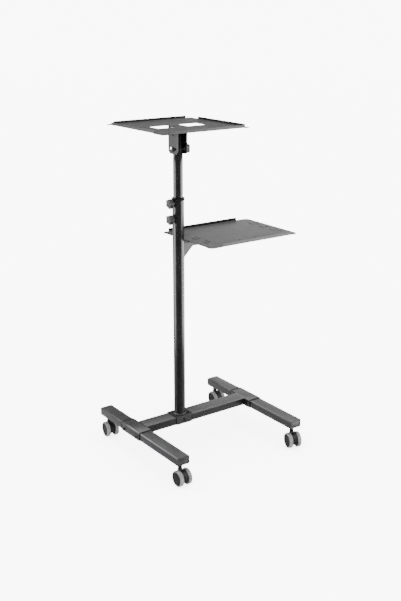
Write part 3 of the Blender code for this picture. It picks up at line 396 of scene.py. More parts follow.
def boltShape(kind, length):
    # The socket and the nut follow a hexagon: r(a) = r cos 30 degrees / cos(a mod 60 degrees - 30 degrees)
    shank, head, height, nut, dome = sizesOf(kind, "shank head height nut dome")
    angle = np.arange(roundSteps) * 2 * np.pi / roundSteps
    hexagon = math.cos(np.pi / 6) / np.cos(np.mod(angle, np.pi / 3) - np.pi / 6)
    bowed = np.ones(roundSteps)
    if kind["socket"]:
        inner = head * boltSizes["socketShare"]
        floorLevel = height * boltSizes["socketDepthShare"] - height
        rows = [(0.0, floorLevel, bowed), (inner, floorLevel, hexagon), (inner, -height, hexagon),
                (inner * boltSizes["socketMouth"], -height, hexagon)]
    else:
        rows = [(0.0, -height, bowed)]
    rise = height * boltSizes["domeRise"]
    rows += [(head * (1 - dome) + head * dome * math.sin(t), -height + rise * (1 - math.cos(t)), bowed)
             for t in np.linspace(boltSizes["domeStart"], np.pi / 2, 6)]
    rows += [(head, 0.0, bowed), (shank, 0.0, bowed), (shank, length, bowed)]
    if nut > 0:
        end = length + height
        rows += [(nut * boltSizes["nutFootShare"], length, hexagon), (nut, length + boltSizes["nutFoot"], hexagon),
                 (nut, end - boltSizes["nutTip"], hexagon), (nut * boltSizes["nutTipShare"], end, hexagon),
                 (shank * boltSizes["nutBore"], end, bowed), (shank, end, bowed), (0.0, end, bowed)]
    else:
        rows += [(0.0, length, bowed)]
    points = np.array([np.stack([r * form * np.cos(angle), r * form * np.sin(angle), np.full(roundSteps, z)], -1)
                       for r, z, form in rows])
    return gridShape(points, wrapColumns=True)


def placeBolt(name, node, body, way, kind):
    # The bolt fills the node's box along its way, from the head to the nut or the plain end
    low, high = np.array(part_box(node))
    axis, height = np.cross(*way), kind["height"]
    k = np.abs(axis).argmax()
    length = high[k] - low[k] - height - (height if kind["nut"] > 0 else 0.0)
    place = (low + high) / 2
    place[k] = low[k] + height if axis[k] > 0 else high[k] - height
    shape = laidShape(boltShape(kind, length), place, *way)
    makePiece(name, shape, steelMaterial, body, [node], sharp=40)


for hand, way in (("left", alongX), ("right", againstX)):
    for end in ("front", "rear"):
        node = "saddle_bolt_" + end + "_" + hand
        placeBolt("saddleBolt" + end.title() + hand.title(), node, "base", way, throughBolt)
placeBolt("footCrossBolt", "foot_cross_bolt", "base", alongY, throughBolt)
for corner in ("front_left", "front_right", "rear_left", "rear_right"):
    title = corner.title().replace("_", "")
    placeBolt("footBolt" + title, "foot_bolt_" + corner, "base", downward, topBolt)
placeBolt("pivotBolt", "tilt_pivot_bolt", "upper_post", alongX, throughBolt)
print("stage: base and bolts are made")


postSizes = {"lowerRadius": 0.0210, "lowerWall": 0.0015, "upperRadius": 0.0175, "upperWall": 0.0015, "steps": 96,
             "holeRadius": 0.0035, "holePitch": 0.058, "topHoleDrop": 0.149, "holeCount": 8, "halfPatch": 0.0055,
             "edge": 0.0004}

low, high = np.array(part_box("lower_post_tube"))
outer, inner, edge = postSizes["lowerRadius"], postSizes["lowerRadius"] - postSizes["lowerWall"], postSizes["edge"]
profile = [(outer, low[2]), (outer, high[2] - edge), (outer - edge, high[2]), (inner, high[2]), (inner, low[2])]
makePiece("lowerPost", laidShape(turnedShape(profile, postSizes["steps"], closed=True), (postX, postY, 0)),
          postMaterial, "base", ["lower_post_tube"])


def drilledTube(radius, low, high, holes, holeRadius, halfPatch, sideSteps=4, columns=80):
    # The tube is a grid of angle and height. Beside each hole a square patch runs from the hole's circle
    # to the square: point = (1 - s) square + s circle. The holes face along -x
    side = np.linspace(-halfPatch, halfPatch, sideSteps + 1)
    heights = np.concatenate([[low], *(z + side for z in sorted(holes)), [high]])
    halfAngle = halfPatch / radius
    angle = np.linspace(halfAngle, 2 * np.pi - halfAngle, columns + 1)
    shapes = [np.stack(np.broadcast_arrays(angle[None] * radius, heights[:, None]), -1)]
    bounds = [low] + [z + s * halfPatch for z in sorted(holes) for s in (-1, 1)] + [high]
    for start, end in zip(bounds[::2], bounds[1::2]):
        shapes.append(np.stack(np.broadcast_arrays(side[None], np.array([start, end])[:, None]), -1))
    # The square is its lowest side and the same side turned by 90, 180 and 270 degrees
    foot = np.column_stack([side[:-1], np.full(sideSteps, -halfPatch)])
    square = np.vstack([foot @ np.linalg.matrix_power([[0, 1], [-1, 0]], k) for k in range(4)])
    circle = holeRadius * square / np.linalg.norm(square, axis=1, keepdims=True)
    share = np.linspace(0, 1, 4)[:, None, None]
    patch = (1 - share) * square + share * circle
    built = [gridShape(np.concatenate([grid, np.zeros(grid.shape[:2] + (1,))], -1)) for grid in shapes]
    for z in holes:
        ring = np.concatenate([patch + (0.0, z), np.zeros(patch.shape[:2] + (1,))], -1)
        built.append(gridShape(ring, wrapColumns=True))
    points, faces = joinShapes(*built)
    turn = np.pi + points[:, 0] / radius
    return np.column_stack([radius * np.cos(turn), radius * np.sin(turn), points[:, 1]]), faces


low, high = np.array(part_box("upper_post_tube"))
holes = [high[2] - postSizes["topHoleDrop"] - k * postSizes["holePitch"] for k in range(postSizes["holeCount"])]
shape = drilledTube(postSizes["upperRadius"], low[2], high[2], holes, postSizes["holeRadius"],
                    postSizes["halfPatch"])
upperPost = makePiece("upperPost", laidShape(shape, (postX, postY, 0)), postMaterial, "upper_post",
                      ["upper_post_tube"])
wall = upperPost.modifiers.new("wall", "SOLIDIFY")
wall.thickness = postSizes["upperWall"]
wall.offset = -1

# Collar: a bush inside the tube under a round flange with a groove and a soft top edge
collarSizes = {"radius": 0.0231, "bore": 0.0178, "boreEdge": 0.0006, "bushRadius": 0.0192, "seat": 0.0003,
               "footEdge": 0.0005, "edge": 0.0018, "grooveRise": 0.0030, "grooveSteps": (0.0003, 0.0008, 0.0011),
               "grooveDepth": 0.0005}
low, high = np.array(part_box("post_collar"))
base, top = float(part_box("lower_post_tube")[1][2]) + collarSizes["seat"], float(high[2])
radius, bore, bush, foot, edge, bite = sizesOf(collarSizes, "radius bore bushRadius footEdge edge grooveDepth")
middle = base + collarSizes["grooveRise"]
levels = [middle + step for step in collarSizes["grooveSteps"]]
profile = [(bore, low[2]), (bush, low[2]), (bush, base), (radius - foot, base), (radius, base + foot),
           (radius, middle), (radius - bite, levels[0]), (radius - bite, levels[1]), (radius, levels[2])]
profile += arcPoints((radius - edge, top - edge), edge, 0, np.pi / 2, 5).tolist()
profile += [(bore + collarSizes["boreEdge"], top), (bore, top - collarSizes["boreEdge"])]
makePiece("postCollar", laidShape(turnedShape(profile, postSizes["steps"], closed=True), (postX, postY, 0)),
          collarMaterial, "base", ["post_collar"], sharp=40)

# Bosses of the clamp knobs, seated in the tube's side
bossSizes = {"radius": 0.0078, "foot": 0.0200, "length": 0.0045, "edge": 0.0006, "bore": 0.0043}
knobHeights = {}
for name in ("upper", "lower"):
    low, high = np.array(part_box("clamp_boss_" + name))
    knobHeights[name] = float(low[2] + high[2]) / 2
    bore, foot, radius, edge = sizesOf(bossSizes, "bore foot radius edge")
    tip = postSizes["lowerRadius"] + bossSizes["length"]
    profile = [(bore, foot), (radius, foot), (radius, tip - edge), (radius - edge, tip), (bore, tip)]
    shape = laidShape(turnedShape(profile, roundSteps, closed=True), (postX, postY, knobHeights[name]), *againstX)
    makePiece("clampBoss" + name.title(), shape, coatMaterial, "base", ["clamp_boss_" + name])

# Weld beads: one round the post's foot, and one up each side of the beam's two ends
footWeldSizes = {"radius": 0.0019, "pitch": 0.0034, "steps": 219, "standOff": 0.0006, "rise": 0.0005}
beamWeldSizes = {"radius": 0.0013, "pitch": 0.0034, "inset": 0.0004, "standOff": 0.0002, "foot": 0.003, "top": 0.004}


def linePath(start, end, count=60):
    share = np.linspace(0, 1, count)[:, None]
    return np.array(start) * (1 - share) + np.array(end) * share


radius = postSizes["lowerRadius"] + footWeldSizes["standOff"]
ring = arcPoints((postX, postY), radius, 0, 2 * np.pi, footWeldSizes["steps"])
ring = np.column_stack([ring, np.full(len(ring), footTop + footWeldSizes["rise"])])
makePiece("postFootWeld", beadShape(ring, footWeldSizes), weldMaterial, "base", sharp=60)
low, high = np.array(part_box("cross_beam"))
inset, off = sizesOf(beamWeldSizes, "inset standOff")
beads = []
for x in (low[0] + inset, high[0] - inset):
    for y in (low[1] - off, high[1] + off):
        line = linePath((x, y, low[2] + beamWeldSizes["foot"]), (x, y, high[2] - beamWeldSizes["top"]))
        beads.append(beadShape(line, beamWeldSizes))
makePiece("beamWelds", joinShapes(*beads), coatMaterial, "base", sharp=60)

# Painted shade: a matt black bead in the step at each end of the saddles and of the post's foot, where the gap's shadow
# falls
shadeBeadSizes = {"radius": 0.0026, "pitch": 0.05, "corner": 0.0038, "standOff": 0.0008, "rise": 0.002, "pastEnd": 0.0004}


def shadeBeadPath(halfWidth, low, top, corner):
    # Up one side, over the top and down the other, with round corners
    half = np.vstack([linePath((-halfWidth, low), (-halfWidth, top - corner), 12)[:-1],
                      arcPoints((corner - halfWidth, top - corner), corner, np.pi, np.pi / 2, 8)])
    return np.vstack([half, linePath(half[-1], half[-1] * (-1, 1), 24)[1:-1], half[::-1] * (-1, 1)])


beads = []
gap = shadeBeadSizes["standOff"]
for holder, carrier, k in (("saddle_left", "leg_left", 1), ("saddle_right", "leg_right", 1),
                           ("post_foot_bracket", "cross_beam", 0)):
    low, high = np.array(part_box(carrier))
    start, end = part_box(holder)
    across = 1 - k
    path = shadeBeadPath((high[across] - low[across]) / 2 + gap, start[2] + shadeBeadSizes["rise"], high[2] + gap,
                    shadeBeadSizes["corner"])
    for edge in (start[k] - shadeBeadSizes["pastEnd"], end[k] + shadeBeadSizes["pastEnd"]):
        line = np.zeros((len(path), 3))
        line[:, across] = path[:, 0] + (low[across] + high[across]) / 2
        line[:, k] = edge
        line[:, 2] = path[:, 1]
        beads.append(beadShape(line, shadeBeadSizes))
makePiece("endSeals", joinShapes(*beads), shadeBeadMaterial, "base", sharp=60)
print("stage: post is made")


# Clamp knobs: a lobed grip on a round hub, with a screw behind it and a round cap in its dished face
knobSizes = {"lobes": 5, "lobeDepth": 0.0040, "thickness": 0.0150, "edge": 0.0026, "hub": 0.0085, "hubEdge": 0.0005,
             "hubFlare": 0.0008, "flareDepth": 0.0004, "faceDish": 0.0010, "capRadius": 0.0070, "seat": 0.0003,
             "steps": 150,
             # Halfway in: shares of the radius, the dish and the lobes. At the cap: widths over its radius, and shares
             # of the dish
             "halfway": (0.72, 0.5, 0.45), "capRows": ((0.0012, 1), (0.0004, 1), (0, 1.5), (-0.0003, 1),
                                                       (-0.0012, 0.35), (-0.0035, 0.1), (-0.0070, 0))}
postKnobSizes = {"radius": 0.0185, "hubLength": 0.0022, "screw": 0.0040}
tiltKnobSizes = {"radius": 0.0205, "hubLength": 0.0060, "screw": 0.0041, "screwStart": 0.0163}


def knobShape(kind, neck, screwEnd):
    # Rows of radius, height and share, from the screw's end to the cap. The lobes take share * depth off the radius,
    # times (1 - cos(lobes a)) / 2 to the power 0.8
    radius, screw = kind["radius"], kind["screw"]
    steps, depth, edge, hub, small = sizesOf(knobSizes, "steps lobeDepth edge hub hubEdge")
    angle = np.arange(steps) * 2 * np.pi / steps
    dip = depth * ((1 - np.cos(knobSizes["lobes"] * angle)) / 2) ** 0.8
    back = neck + kind["hubLength"]
    front = back + knobSizes["thickness"]
    turn = np.linspace(0, np.pi / 2, 7)
    rows = [(0.0, screwEnd, 0), (screw, screwEnd, 0), (screw, neck, 0), (hub - small, neck, 0), (hub, neck + small, 0),
            (hub, back - knobSizes["flareDepth"], 0), (hub + knobSizes["hubFlare"], back, 0)]
    rows += [(radius - edge + edge * math.sin(t), back + edge * (1 - math.cos(t)), 1) for t in turn]
    rows += [(radius - edge + edge * math.sin(t), front - edge * (1 - math.cos(t)), 1) for t in turn[::-1]]
    dish, cap, (inward, sunk, share) = sizesOf(knobSizes, "faceDish capRadius halfway")
    rows += [(radius * inward, front - dish * sunk, share)]
    rows += [(cap + wider, front - dish * sunk, 0) for wider, sunk in knobSizes["capRows"]]
    rows = np.array(rows)
    reach = rows[:, :1] - rows[:, 2:] * dip[None]
    points = np.stack([reach * np.cos(angle), reach * np.sin(angle), np.broadcast_to(rows[:, 1:2], reach.shape)], -1)
    return gridShape(points, wrapColumns=True)


neck = postSizes["lowerRadius"] + bossSizes["length"] + knobSizes["seat"]
for name in ("upper", "lower"):
    shape = knobShape(postKnobSizes, neck, postSizes["upperRadius"] + knobSizes["seat"])
    shape = laidShape(shape, (postX, postY, knobHeights[name]), *againstX)
    makePiece("postKnob" + name.title(), shape, plasticMaterial, name + "_clamp_knob",
              ["post_knob_" + name], sharp=45)
low, high = np.array(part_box("tilt_clamp_bolt"))
clampZ = float(low[2] + high[2]) / 2
seat = float(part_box("tilt_knob")[0][0]) - postX
shape = knobShape(tiltKnobSizes, seat, seat + tiltKnobSizes["screwStart"])
makePiece("tiltKnob", laidShape(shape, (postX, postY, clampZ), *alongX), plasticMaterial, "tilt_clamp_knob",
          ["tilt_knob"], sharp=45)
placeBolt("clampBolt", "tilt_clamp_bolt", "upper_post", alongX, domedBolt)
print("stage: knobs are made")


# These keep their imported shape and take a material
keptNodes = {"upper_shelf": shelfMaterial, "lower_shelf": lowerShelfMaterial, "tilt_yoke": coatMaterial,
             "shelf_arm": coatMaterial, "shelf_screw_near": steelMaterial, "shelf_screw_far": steelMaterial,
             "post_glide": plasticMaterial}
for node, material in keptNodes.items():
    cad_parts[node].material_slots[0].material = material

# Under each vent slot a pressed louvre: an arc of sheet that hangs from one long side and curls below the slot
louvreSizes = {"length": 0.036, "thickness": 0.0009, "radius": 0.0046, "reach": 0.0032, "curl": 1.25, "seat": 0.0001,
               "rows": 3, "rowPitch": 0.065, "stagger": 0.006, "nearInset": 0.040, "farInset": 0.026, "spacing": 0.019}
(shelfNear, shelfFront, shelfUnder), (shelfFar, _, _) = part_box("lower_shelf")
radius, curl, half = louvreSizes["radius"], louvreSizes["curl"], louvreSizes["length"] / 2
bend = (louvreSizes["reach"] - radius, 0.0)
outer = arcPoints(bend, radius, 0.0, -curl, 10)
inner = arcPoints(bend, radius - louvreSizes["thickness"], -curl, 0.0, 10)
hood = prismShape(np.vstack([outer, inner])[::-1], -half, half)
louvres = []
for row in range(louvreSizes["rows"]):
    y = postY + (row - (louvreSizes["rows"] - 1) / 2) * louvreSizes["rowPitch"]
    for column in (0, 1):
        shift = (2 * column - 1) * louvreSizes["stagger"]
        for x in (shelfNear + louvreSizes["nearInset"] + column * louvreSizes["spacing"],
                  shelfFar - louvreSizes["farInset"] - column * louvreSizes["spacing"]):
            louvres.append(laidShape(hood, (x, y + shift, shelfUnder - louvreSizes["seat"]), *againstY))
makePiece("ventLouvres", joinShapes(*louvres), coatMaterial, "base", sharp=50)

# Plastic plugs close the row of small holes: a flat dome over a stem
plugSizes = {"radius": 0.0046, "height": 0.0009, "stem": 0.0026, "depth": 0.0030, "seat": 0.0001, "start": 0.164,
             "pitch": 0.069, "inset": 0.047, "sheet": 0.0016, "count": 3}
stem, deep, seat = sizesOf(plugSizes, "stem depth seat")
profile = [(0.0, -deep), (stem, -deep), (stem, seat)]
profile += [(plugSizes["radius"] * math.cos(t), seat + plugSizes["height"] * math.sin(t))
            for t in np.linspace(0, np.pi / 2, 6)]
plugs = []
for k in range(plugSizes["count"]):
    place = (shelfNear + plugSizes["start"] + k * plugSizes["pitch"], shelfFront + plugSizes["inset"],
             shelfUnder + plugSizes["sheet"])
    plugs.append(laidShape(turnedShape(profile, 32), place))
makePiece("holePlugs", joinShapes(*plugs), plasticMaterial, "base", sharp=50)

# Weld beads up the post on both sides of the arm and its gusset
gussetWeldSizes = dict(beamWeldSizes, ring=0.0212, halfAngle=0.105, foot=0.002, top=0.021)
(_, _, armFoot), (_, _, armTop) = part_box("shelf_arm")
beads = []
for angle in (-gussetWeldSizes["halfAngle"], gussetWeldSizes["halfAngle"]):
    x, y = postX + gussetWeldSizes["ring"] * math.cos(angle), postY + gussetWeldSizes["ring"] * math.sin(angle)
    line = linePath((x, y, armFoot + gussetWeldSizes["foot"]), (x, y, armTop - gussetWeldSizes["top"]))
    beads.append(beadShape(line, gussetWeldSizes))
makePiece("gussetWelds", joinShapes(*beads), coatMaterial, "base", sharp=60)


# Wheels, from the inner side at 0 to the outer side at the full width
wheelSizes = {"radius": 0.0290, "width": 0.0150, "gap": 0.0202, "steps": 96, "treadFoot": 0.0230, "treadInset": 0.0007,
              "innerEdge": 0.0016, "shoulder": 0.0032, "shoulderShare": 0.8, "treadBand": (0.45, 0.6),
              "discRadius": 0.0243, "discEdge": 0.0012, "bore": 0.0033, "boreEnd": 0.0098, "hubRadius": 0.0068,
              # Rows of a width over the hub's radius, or an inset from the disc's, and a height or a share of the dish
              "hubSide": ((0, 0), (0, 0.0045), (0.0014, 0.0078)), "dish": 0.0016, "dishDepths": (0.25, 0.35),
              "innerRim": ((0.0045, 0.0078), (0.0026, 0.0006), (0.0004, 0.0004), (0, 0.0010)),
              "groove": ((0.0026, 0), (0.0031, 0.6), (0.0038, 0.6), (0.0044, 0.25)),
              "ring": (0.0002, 0.0016), "ribs": 7, "ribThickness": 0.0014, "ribBevel": 0.0003, "ribStart": 0.0012,
              "ribInset": 0.0030, "ribFeet": (0.0010, 0.0022), "ribEnd": 0.0082}


def treadShape(sizes):
    # A closed profile of radius and width goes round the axle, with a small inner edge and a wide outer shoulder
    radius, width, foot, bowed = sizesOf(sizes, "radius width treadFoot shoulder")
    edge, near, far = sizes["innerEdge"], sizes["treadInset"], width - sizes["treadInset"]
    turn = np.linspace(0, np.pi / 2, 7)
    profile = [(foot, near), (radius - edge, near)]
    profile += arcPoints((radius - edge, near + edge), edge, -np.pi / 2, 0, 6)[1:].tolist()
    profile += [(radius, width * share) for share in sizes["treadBand"]]
    profile += [(radius - bowed + bowed * math.cos(t), far - bowed * sizes["shoulderShare"] * (1 - math.sin(t)))
                for t in turn]
    profile += [(foot, far)]
    return turnedShape(profile, sizes["steps"], closed=True)


def discShape(sizes):
    # The inner side is recessed round a hub. The outer side has a rim, a fine groove and a middle that dips as the
    # square of the radius: depth = dish (first + second (1 - r^2)), from its edge at r = 1
    width, disc, edge, dish = sizesOf(sizes, "width discRadius discEdge dish")
    bore, end, hub, (first, second) = sizesOf(sizes, "bore boreEnd hubRadius dishDepths")
    reach = disc - sizes["groove"][-1][0]
    profile = [(0.0, end), (bore, end), (bore, 0.0)] + [(hub + wider, level) for wider, level in sizes["hubSide"]]
    profile += [(disc - inset, level) for inset, level in sizes["innerRim"]] + [(disc, width - edge)]
    profile += arcPoints((disc - edge, width - edge), edge, 0, np.pi / 2, 4)[1:].tolist()
    profile += [(disc - inset, width - dish * share) for inset, share in sizes["groove"]]
    profile += [(reach * r, width - dish * (first + second * (1 - r ** 2))) for r in np.linspace(1, 0, 13)[1:]]
    return turnedShape(profile, sizes["steps"])


def ribShape(sizes):
    # Ribs run out from a ring round the hub to the rim, each as high as the disc's inner recess
    hub, disc, end, thickness = sizesOf(sizes, "hubRadius discRadius ribEnd ribThickness")
    (start, stop), (nearFoot, farFoot) = sizesOf(sizes, "ring ribFeet")
    ring = [(hub + start, start), (hub + stop, start), (hub + stop, end), (hub + start, end)]
    shapes = [turnedShape(ring, roundSteps, closed=True)]
    near, far = hub + sizes["ribStart"], disc - sizes["ribInset"]
    outline = [(near, nearFoot), (far, farFoot), (far, end), (near, end)]
    points, faces = prismShape(outline, -thickness / 2, thickness / 2, sizes["ribBevel"], 1)
    for angle in 2 * np.pi * (np.arange(sizes["ribs"]) + 0.5) / sizes["ribs"]:
        # x goes outward, y up and z round the hub
        shapes.append((points @ turnMatrix(angle)[[0, 2, 1]], faces))
    return joinShapes(*shapes)


# Housing: heights in the neck's profile are over the floor, and widths are added to the neck's radius
housingSizes = {"radius": 0.0262, "halfWidth": 0.0092, "edge": 0.0024, "skirt": math.radians(24), "corner": 0.0018,
                "archShare": 0.93, "cornerShare": 1.6, "cornerTurn": 0.35,
                "trail": 0.014, "neckRadius": 0.0074, "neckFoot": 0.034, "neckTop": 0.0753, "bore": 0.0050,
                "neck": ((0.0012, 0.036), (0.0020, 0.0475), (0.0011, 0.0530), (0.0003, 0.0570), (0.0, 0.0610),
                         (0.0, 0.0742), (-0.0007, 0.0753))}


def housingShape(sizes):
    # A round hood cut off by a chord under the axle, with rounded edges, and a flared neck over the swivel
    skirt, radius, corner, turn, share = sizesOf(sizes, "skirt radius corner cornerTurn archShare")
    arch = arcPoints((0, 0), radius, -skirt * share, np.pi + skirt * share, 72)
    right = (radius * math.cos(skirt) - corner * sizes["cornerShare"], -radius * math.sin(skirt) + corner)
    toe = arcPoints((-right[0], right[1]), corner, np.pi + turn, 1.5 * np.pi, 4)
    heel = arcPoints(right, corner, 1.5 * np.pi, 2 * np.pi - turn, 4)
    hood = prismShape(np.vstack([arch, toe, heel]), -sizes["halfWidth"], sizes["halfWidth"], sizes["edge"], 5)
    hood = laidShape(hood, (0, -sizes["trail"], wheelSizes["radius"]), *alongX)
    flare = [(sizes["neckRadius"] + wider, height) for wider, height in sizes["neck"]]
    flare = [(0.0, sizes["neckFoot"])] + flare + [(sizes["bore"], sizes["neckTop"]), (0.0, sizes["neckTop"])]
    return joinShapes(hood, turnedShape(flare, roundSteps))


# Stem: flangeFoot and flangeTop are heights over the floor
stemSizes = {"pin": 0.0042, "flange": 0.0085, "flangeFoot": 0.0757, "flangeTop": 0.0797, "flangeEdge": 0.0007,
             "thread": 0.0046, "threadEdge": 0.0006}


def stemShape(low, high):
    # The pin, a flange with chamfered edges and the plain thread, chamfered at its end
    pin, flange, foot, top, edge, thread, tip = stemSizes.values()
    profile = [(0.0, low), (pin, low), (pin, foot), (flange - edge, foot), (flange, foot + edge), (flange, top - edge),
               (flange - edge, top), (thread, top), (thread, high - tip), (thread - tip, high), (0.0, high)]
    return turnedShape(profile, roundSteps)


# Brake pedal: ripples and tip start and end at shares of the reach
leverSizes = {"reach": 0.0155, "slope": math.radians(33), "boss": 0.0035, "bossEdge": 0.0006, "halfWidth": 0.0062,
              "thickness": 0.0034, "lift": 0.0009, "tipFrom": 0.86, "ripple": 0.10, "ripplePitch": 0.0026,
              "rippleFrom": 0.35, "rippleTo": 0.9, "steps": 32, "setBack": 0.0135, "gap": 0.0003,
              "rootWidth": 0.78, "widensOver": 0.35, "tipWidth": 0.25, "tipThickness": 0.02, "thinning": 0.18,
              "curlPower": 2.2, "sectionPowers": (0.35, 0.6)}


def leverShape(sizes):
    # A flat pedal on a round boss. Its section is a rounded bar, which widens over the first third of the reach, thins
    # and curls up towards the tip, and closes there along a quarter of an ellipse
    share, steps = np.linspace(0, 1, 25), sizes["steps"]
    run = sizes["reach"] * share
    lift = sizes["lift"] * share ** sizes["curlPower"]
    closing = np.sqrt(np.clip(1 - np.clip((share - sizes["tipFrom"]) / (1 - sizes["tipFrom"]), 0, 1) ** 2, 0, 1))
    root, tip, (acrossPower, upPower) = sizesOf(sizes, "rootWidth tipWidth sectionPowers")
    half = sizes["halfWidth"] * (root + (1 - root) * np.clip(share / sizes["widensOver"], 0, 1))
    half *= tip + (1 - tip) * closing
    thick = sizes["thickness"] / 2 * (1 - sizes["thinning"] * share) * np.maximum(closing, sizes["tipThickness"])
    rippled = (share > sizes["rippleFrom"]) & (share < sizes["rippleTo"])
    thick *= 1 + sizes["ripple"] * np.cos(run * 2 * np.pi / sizes["ripplePitch"]) * rippled
    angle = np.arange(steps) * 2 * np.pi / steps
    across = np.sign(np.cos(angle)) * np.abs(np.cos(angle)) ** acrossPower
    up = np.sign(np.sin(angle)) * np.abs(np.sin(angle)) ** upPower
    along = np.array([-math.cos(sizes["slope"]), math.sin(sizes["slope"])])
    normal = np.array([math.sin(sizes["slope"]), math.cos(sizes["slope"])])
    centre = run[:, None] * along + lift[:, None] * normal
    flat = centre[:, None] + (thick[:, None] * up[None])[..., None] * normal
    wide = half[:, None] * across[None]
    pedal = gridShape(np.stack([flat[..., 0], flat[..., 1], wide], -1), wrapColumns=True, capped=True)
    boss, width, edge = sizesOf(sizes, "boss halfWidth bossEdge")
    barrel = [(0.0, -width), (boss - edge, -width), (boss, edge - width), (boss, width - edge), (boss - edge, width),
              (0.0, width)]
    return joinShapes(pedal, turnedShape(barrel, 40))


# How far each caster is turned about its stem, in degrees
casterTurns = {"front_left": 0.0, "front_right": -15.0, "rear_left": -7.0, "rear_right": -4.0}
for corner, degrees in casterTurns.items():
    title = corner.title().replace("_", "")
    low, high = np.array(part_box("caster_stem_" + corner))
    centre = (low + high) / 2 * (1, 1, 0)
    spin = turnMatrix(math.radians(degrees))
    swivel = "swivel_" + corner

    def settle(shape):
        # Local to the swivel's axis, then turned as this caster stands
        points, faces = shape
        return points @ spin + centre, faces

    makePiece("casterHousing" + title, settle(housingShape(housingSizes)), casterMaterial, swivel,
              ["caster_housing_" + corner], sharp=38)
    makePiece("casterStem" + title, settle(stemShape(float(low[2]), float(high[2]))), steelMaterial, "base",
              ["caster_stem_" + corner])
    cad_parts["caster_axle_" + corner].material_slots[0].material = steelMaterial
    for hand, side, way in (("left", -1, againstX), ("right", 1, alongX)):
        place = (side * wheelSizes["gap"] / 2, -housingSizes["trail"], wheelSizes["radius"])
        wheel, ending = "wheel_" + hand + "_" + corner, hand.title() + title
        for part, form, material, slot, replaced in (
                ("Disc", discShape, discMaterial, "moulded_plastic", ["caster_" + wheel]),
                ("Ribs", ribShape, casterMaterial, "moulded_plastic", []),
                ("Tread", treadShape, treadMaterial, "wheel_tread", [])):
            shape = laidShape(form(wheelSizes), place, *way)
            makePiece("wheel" + part + ending, settle(shape), material, wheel, replaced)
    if corner.startswith("front"):
        radius = housingSizes["radius"] + leverSizes["gap"] + leverSizes["boss"]
        height = wheelSizes["radius"] + math.sqrt(radius ** 2 - (housingSizes["trail"] - leverSizes["setBack"]) ** 2)
        place = (0.0, -leverSizes["setBack"], height)
        makePiece("brakePedal" + title, settle(laidShape(leverShape(leverSizes), place, *alongX)), plasticMaterial,
                  "brake_" + corner, ["brake_lever_" + corner], sharp=50)
print("stage: casters are made")


studio = {"floorTone": (0.92, 0.92, 0.92), "floorFlat": 25.0, "floorReach": 80.0, "rimRise": 50.0, "floorGlow": 4.0,
          "floorRoughness": 0.9, "floorSpecular": 0.1,
          # The sky's strength goes from skyEdge to skyTop through skyHeights. Below the horizon it goes from rearBelow
          # to frontBelow, as the direction turns to the front through frontTurns
          "skyEdge": 0.20, "skyTop": 8.0, "skyHeights": (0.50, 1.0), "rearBelow": 1.0, "frontBelow": 0.05,
          "frontTurns": (0.1, 0.85), "frontWay": (-0.582, -0.813, 0.0), "horizon": (-0.03, 0.0),
          # Pieces that each light leaves out, as a flag would shade them
          "flags": {"edgeStrip": ["upper_shelf", "lower_shelf"], "leftHigh": ["lower_shelf"],
                    "rightHigh": ["lower_shelf"], "rightLow": ["capFrontLeft"]},
          # Each light's place, target, size and radiance
          "lights": {
              "leftLow": ((-1.449, 0.723, 0.30), (-0.094, 0.075, 0.30), (1.15, 0.92), 7.5),
              "leftHigh": ((-1.449, 0.723, 1.02), (-0.094, 0.075, 1.02), (1.15, 0.52), 7.5),
              "rightLow": ((1.206, -0.667, 0.305), (-0.119, 0.027, 0.305), (1.96, 0.91), 8.0),
              "rightHigh": ((1.206, -0.667, 1.015), (-0.119, 0.027, 1.015), (1.96, 0.51), 8.0),
              "rearBank": ((1.79, 1.40, 0.68), (-0.10, 0.05, 0.4), (1.6, 1.36), 0.80),
              "edgeStrip": ((-1.05, 1.94, 1.62), (-0.30, 0.0, 0.1), (1.5, 0.6), 22.0)}}

# A round floor whose far rim curves up past the horizon, as the square of the way beyond the flat part
flat, reach = sizesOf(studio, "floorFlat floorReach")
ways = np.linspace(flat, reach, 32)
profile = [(0.0, 0.0)] + [(float(way), studio["rimRise"] * ((way - flat) / (reach - flat)) ** 2) for way in ways]
points, faces = turnedShape(profile, 96)
floorMesh = bpy.data.meshes.new("studioFloor")
floorMesh.from_pydata(points.tolist(), [], faces)
floorMesh.shade_smooth()
floor = addObject("studioFloor", floorMesh)
floorMaterial, tree, shader = blankMaterial("paleFloor", *sizesOf(studio, "floorTone floorRoughness floorSpecular"))
fillInputs(tree, shader, {"Emission Color": (1, 1, 1, 1), "Emission Strength": studio["floorGlow"]})
floorMesh.materials.append(floorMaterial)
floor.visible_glossy = False  # reflections show the sky's lower half in its place
floor.visible_shadow = False

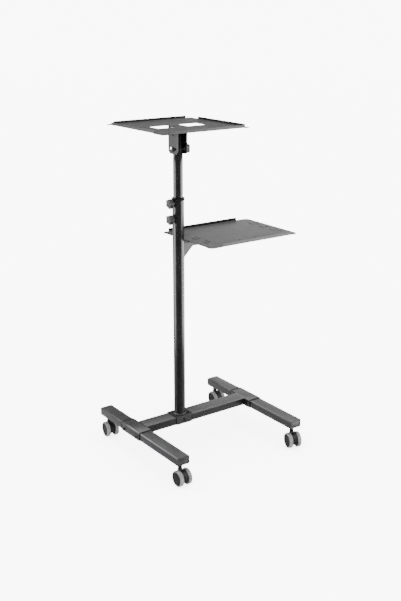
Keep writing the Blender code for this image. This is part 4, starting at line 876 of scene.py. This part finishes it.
world = bpy.data.worlds.new("paleStudio")
bpy.context.scene.world = world
world.use_nodes = True
tree = world.node_tree
way = tree.nodes.new("ShaderNodeTexCoord").outputs["Generated"]
split = tree.nodes.new("ShaderNodeSeparateXYZ")
fillInputs(tree, split, {"Vector": way})
above = rangeNode(tree, split.outputs["Z"], *studio["skyHeights"], studio["skyEdge"], studio["skyTop"])
front = tree.nodes.new("ShaderNodeVectorMath")
front.operation = "DOT_PRODUCT"
fillInputs(tree, front, {0: way, 1: studio["frontWay"]})
below = rangeNode(tree, front.outputs["Value"], *studio["frontTurns"], studio["rearBelow"], studio["frontBelow"])
level = rangeNode(tree, split.outputs["Z"], *studio["horizon"], 0, 1)
choice = tree.nodes.new("ShaderNodeMix")
fillInputs(tree, choice, {"Factor": level, "A": below, "B": above})
fillInputs(tree, tree.nodes["Background"], {"Color": (1, 1, 1, 1), "Strength": choice.outputs["Result"]})


def aimedAt(item, place, target):
    # The object's -z axis turns towards the target, with its y axis as upright as it can be
    ahead = np.array(target, float) - np.array(place, float)
    ahead /= np.linalg.norm(ahead)
    item.location = place
    item.rotation_euler = (math.acos(-ahead[2]), 0.0, math.atan2(ahead[0], -ahead[1]) + math.pi)


def exempted(name, items):
    # A collection whose objects the light leaves out
    collection = bpy.data.collections.new(name)
    for item in items:
        collection.objects.link(item)
    for entry in collection.collection_objects:
        entry.light_linking.link_state = "EXCLUDE"
    return collection


for name, (place, target, size, radiance) in studio["lights"].items():
    lamp = bpy.data.lights.new(name, "AREA")
    lamp.shape = "RECTANGLE"
    lamp.size, lamp.size_y = size
    lamp.energy = radiance * math.pi * size[0] * size[1]
    holder = addObject(name, lamp)
    holder.visible_camera = False
    flagged = [bpy.data.objects[piece] for piece in studio["flags"].get(name, [])]
    holder.light_linking.receiver_collection = exempted(name + "Flags", [floor] + flagged)
    aimedAt(holder, place, target)

# The camera's place in metres, its yaw and pitch in degrees, and its focal length in pixels of the frame's height
view = {"place": (-1.9399, -2.6463, 1.595), "yaw": 35.59, "pitch": 17.58, "focalPixels": 934.4, "frameHeight": 601,
        "sensor": 36, "clipEnd": 2000}
camera = bpy.data.cameras.new("photoCamera")
camera.sensor_width = view["sensor"]
camera.lens = view["focalPixels"] * view["sensor"] / view["frameHeight"]
camera.clip_end = view["clipEnd"]
eye = addObject("photoCamera", camera)
eye.location = view["place"]
eye.rotation_euler = (math.radians(90 - view["pitch"]), 0.0, math.radians(-view["yaw"]))
bpy.context.scene.camera = eye
print("stage: floor, light and camera are set")
